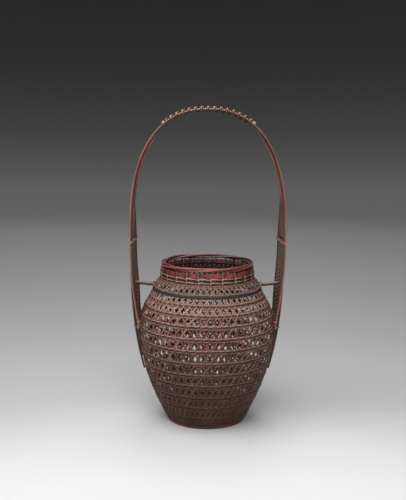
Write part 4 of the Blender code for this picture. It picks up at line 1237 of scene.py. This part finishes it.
def base_hoop():
    """The hoop that the basket stands on: a rounded upright section on a circle, with shallow facets of the
    knife as two sines of the angle."""
    angle = full_turn(240)
    section = np.array(HOOP_SECTION) * MM
    section[:, 0] = np.minimum(section[:, 0], 0.0)
    wave = 0.12 * MM * np.sin(13 * angle) + 0.08 * MM * np.sin(31 * angle)
    radius = HOOP_RADIUS - 0.2 * MM + section[:, 0] + wave[:, None] * (section[:, 1] > 0.2 * MM)
    points = round_path(angle[:, None], radius, section[:, 1])
    tone = (0.10 + 0.35 * np.sin(angle) ** 2 + 0.15 * np.sin(5 * angle) + 0.1 * np.sin(17 * angle))[:, None]
    tone = (tone + 0.45 * (section[:, 1] < 2.0 * MM))[None]
    made = strands(
        "base_ring", points[None], finishes["foot_lacquer"], closed=True, tone=tone,
        wear_and_shade=HOOP_WEAR,
    )
    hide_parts("base_hoop")


base_hoop()


def bottom_weave():
    """Crossed splints over and under each other inside a circle: their height varies as the product of two
    cosines."""
    radius = 0.0520
    wide = 4.4 * MM
    count = int(radius // wide)
    offset = wide * np.arange(-count, count + 1)
    reach = np.sqrt(radius**2 - offset**2) - 0.5 * MM
    for word, turned_round in (("lengthwise", False), ("crosswise", True)):
        share = np.linspace(-1.0, 1.0, 97)
        along = reach[:, None] * share
        row = np.broadcast_to(offset[:, None], along.shape)
        sign = -1 if turned_round else 1
        level = 6.75 * MM + sign * 0.36 * MM * np.cos(np.pi * along / wide) * np.cos(np.pi * row / wide)
        path = np.stack([row, along, level] if turned_round else [along, row, level], -1)
        points = carried(path, UPWARDS, splint_section(2.05 * MM, 0.28 * MM))
        made = strands(
            f"bottom_splints_{word}", points, finishes["inner_splints"],
            tone=tones(90 + sign, len(offset)), wear_and_shade=np.array([0.2, 0.8, 0.3, 0.8, 0.2, 0, 0, 0]),
        )
        if not turned_round:
            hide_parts("bottom_mat")


bottom_weave()


def brace(name, node_name):
    """A stout splint under the bottom: a crowned section along the CAD splint's longer side."""
    low, high = (np.array(corner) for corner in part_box(node_name))
    long_axis = 0 if high[0] - low[0] > high[1] - low[1] else 1
    middle = (low + high) / 2
    path = np.repeat(middle[None], 30, 0)
    path[:, long_axis] = np.linspace(low[long_axis], high[long_axis], 30)
    half_width = (high[1 - long_axis] - low[1 - long_axis]) / 2
    half_depth = (high[2] - low[2]) / 2
    points = carried(path, UPWARDS, splint_section(half_width, half_depth / 1.1))
    made = strands(name, points[None], finishes["dark_lacquer"], tone=[0.4], wear_and_shade=0.3)
    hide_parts(node_name)


brace("upper_brace_splint", "bottom_splint_upper")
brace("lower_brace_splint", "bottom_splint_lower")


# Floor, lamps and camera


def floor_bowl():
    """A round floor that curves up into a wall all round: the profile is flat, then a quarter circle, then
    upright."""
    turn = np.linspace(0.0, np.pi / 2, 24)
    reach, curve = 2.4, 0.9
    flat = np.concatenate([np.linspace(0.0, 0.6, 25), np.linspace(0.65, reach, 30)])
    radius = np.concatenate([flat, reach + curve * np.sin(turn[1:]), [reach + curve, reach + curve]])
    height = np.concatenate([0 * flat, curve * (1 - np.cos(turn[1:])), [2.0, 3.2]])
    points = round_path(full_turn(120), radius[1:, None], height[1:, None])
    rows, sides = points.shape[:2]
    row, side = (part.ravel() for part in np.meshgrid(np.arange(rows - 1), np.arange(sides), indexing="ij"))
    after = (side + 1) % sides
    near, far = row * sides, (row + 1) * sides
    quads = np.stack([near + side, far + side, far + after, near + after], 1)
    mesh = bpy.data.meshes.new("studio_floor")
    mesh.from_pydata(points.reshape(-1, 3).tolist(), [], quads.tolist() + [list(range(sides))])
    mesh.polygons.foreach_set("use_smooth", np.ones(len(quads) + 1, bool))
    mesh.update()
    floor = bpy.data.objects.new("studio_floor", mesh)
    bpy.context.scene.collection.objects.link(floor)
    return floor


def floor_finish():
    """Plain paper with painted light falloff: pale in front of the basket, darker behind it and up the wall,
    its shade going by the distance from a point 0.6 m in front of the basket plus the height, as a share of 5
    m."""
    finish = bpy.data.materials.new("paper with painted light falloff")
    finish.use_nodes = True
    tree = finish.node_tree
    shader = tree.nodes["Principled BSDF"]
    shader.inputs["Roughness"].default_value = 0.9
    shader.inputs["Specular IOR Level"].default_value = 0.1
    place = node(tree, "ShaderNodeTexCoord").outputs["Object"]
    flat = node(
        tree, "ShaderNodeVectorMath", {0: place, 1: (1.0, 1.0, 0.0), 2: (0.0, 0.6, 0.0)},
        operation="MULTIPLY_ADD",
    ).outputs["Vector"]
    away = node(tree, "ShaderNodeVectorMath", {0: flat}, operation="LENGTH").outputs["Value"]
    height = node(tree, "ShaderNodeSeparateXYZ", {"Vector": place}).outputs["Z"]
    share = maths(tree, "DIVIDE", maths(tree, "ADD", away, height), 5.0, clamp=True)
    colour = ramp(tree, share, FLOOR_LIGHT_FALLOFF)
    tree.links.new(colour, shader.inputs["Base Color"])
    return finish


# The paper's painted light falloff by that share of 5 m
FLOOR_LIGHT_FALLOFF = (
    (0.08, 0.88), (0.10, 0.83), (0.12, 0.71), (0.14, 0.60), (0.184, 0.55), (0.22, 0.49), (0.30, 0.44),
    (0.40, 0.46), (0.50, 0.54), (0.60, 0.50), (0.68, 0.42), (0.73, 0.31), (0.80, 0.185), (0.88, 0.11),
    (0.96, 0.08),
)
floor = floor_bowl()
floor.data.materials.append(floor_finish())


def lamp(name, place, target, size, power):
    """A square white lamp of a size in metres and a power in watts, turned to shine from place at target."""
    light = bpy.data.lights.new(name, "AREA")
    light.size = size
    light.energy = power
    made = bpy.data.objects.new(name, light)
    bpy.context.scene.collection.objects.link(made)
    made.location = place
    back = Vector(place) - Vector(target)
    made.rotation_mode = "QUATERNION"
    made.rotation_quaternion = back.to_track_quat("Z", "Y")


lamp("soft_key", (-0.46, -0.60, 1.55), (0.0, 0.0, 0.2), 1.6, 20.5)
lamp("soft_front", (0.15, -1.35, 1.20), (0.0, 0.0, 0.2), 0.7, 8.0)
lamp("soft_back", (0.1, 0.9, 1.6), (0.0, 0.0, 0.25), 0.9, 7.0)

world = bpy.data.worlds.new("studio")
bpy.context.scene.world = world
world.use_nodes = True
world.node_tree.nodes["Background"].inputs["Color"].default_value = (1.0, 1.0, 1.0, 1.0)
world.node_tree.nodes["Background"].inputs["Strength"].default_value = 0.3

bpy.context.scene.view_settings.view_transform = "Standard"


def camera():
    """The photograph's view: from in front, a little to the left, 444 mm up, looking 9.3 degrees down."""
    distance, height = 1.2362, 0.4438
    stand, look = math.radians(1.4), math.radians(1.4 - 0.287)
    pitch, roll = math.radians(9.29), math.radians(0.5)
    forward = Vector((math.sin(look) * math.cos(pitch), math.cos(look) * math.cos(pitch), -math.sin(pitch)))
    right = forward.cross(Vector((0, 0, 1))).normalized()
    up = right.cross(forward)
    rolled_right = right * math.cos(roll) + up * math.sin(roll)
    rolled_up = up * math.cos(roll) - right * math.sin(roll)
    focal_pixels, picture_pixels, sensor = 898, 500, 36
    lens = bpy.data.cameras.new("photo_view")
    lens.lens = focal_pixels / picture_pixels * sensor
    lens.sensor_width = sensor
    lens.clip_start, lens.clip_end = 0.01, 50
    made = bpy.data.objects.new("photo_view", lens)
    bpy.context.scene.collection.objects.link(made)
    turn = Matrix((rolled_right, rolled_up, -forward)).transposed().to_4x4()
    turn.translation = (-distance * math.sin(stand), -distance * math.cos(stand), height)
    made.matrix_world = turn
    bpy.context.scene.camera = made


camera()
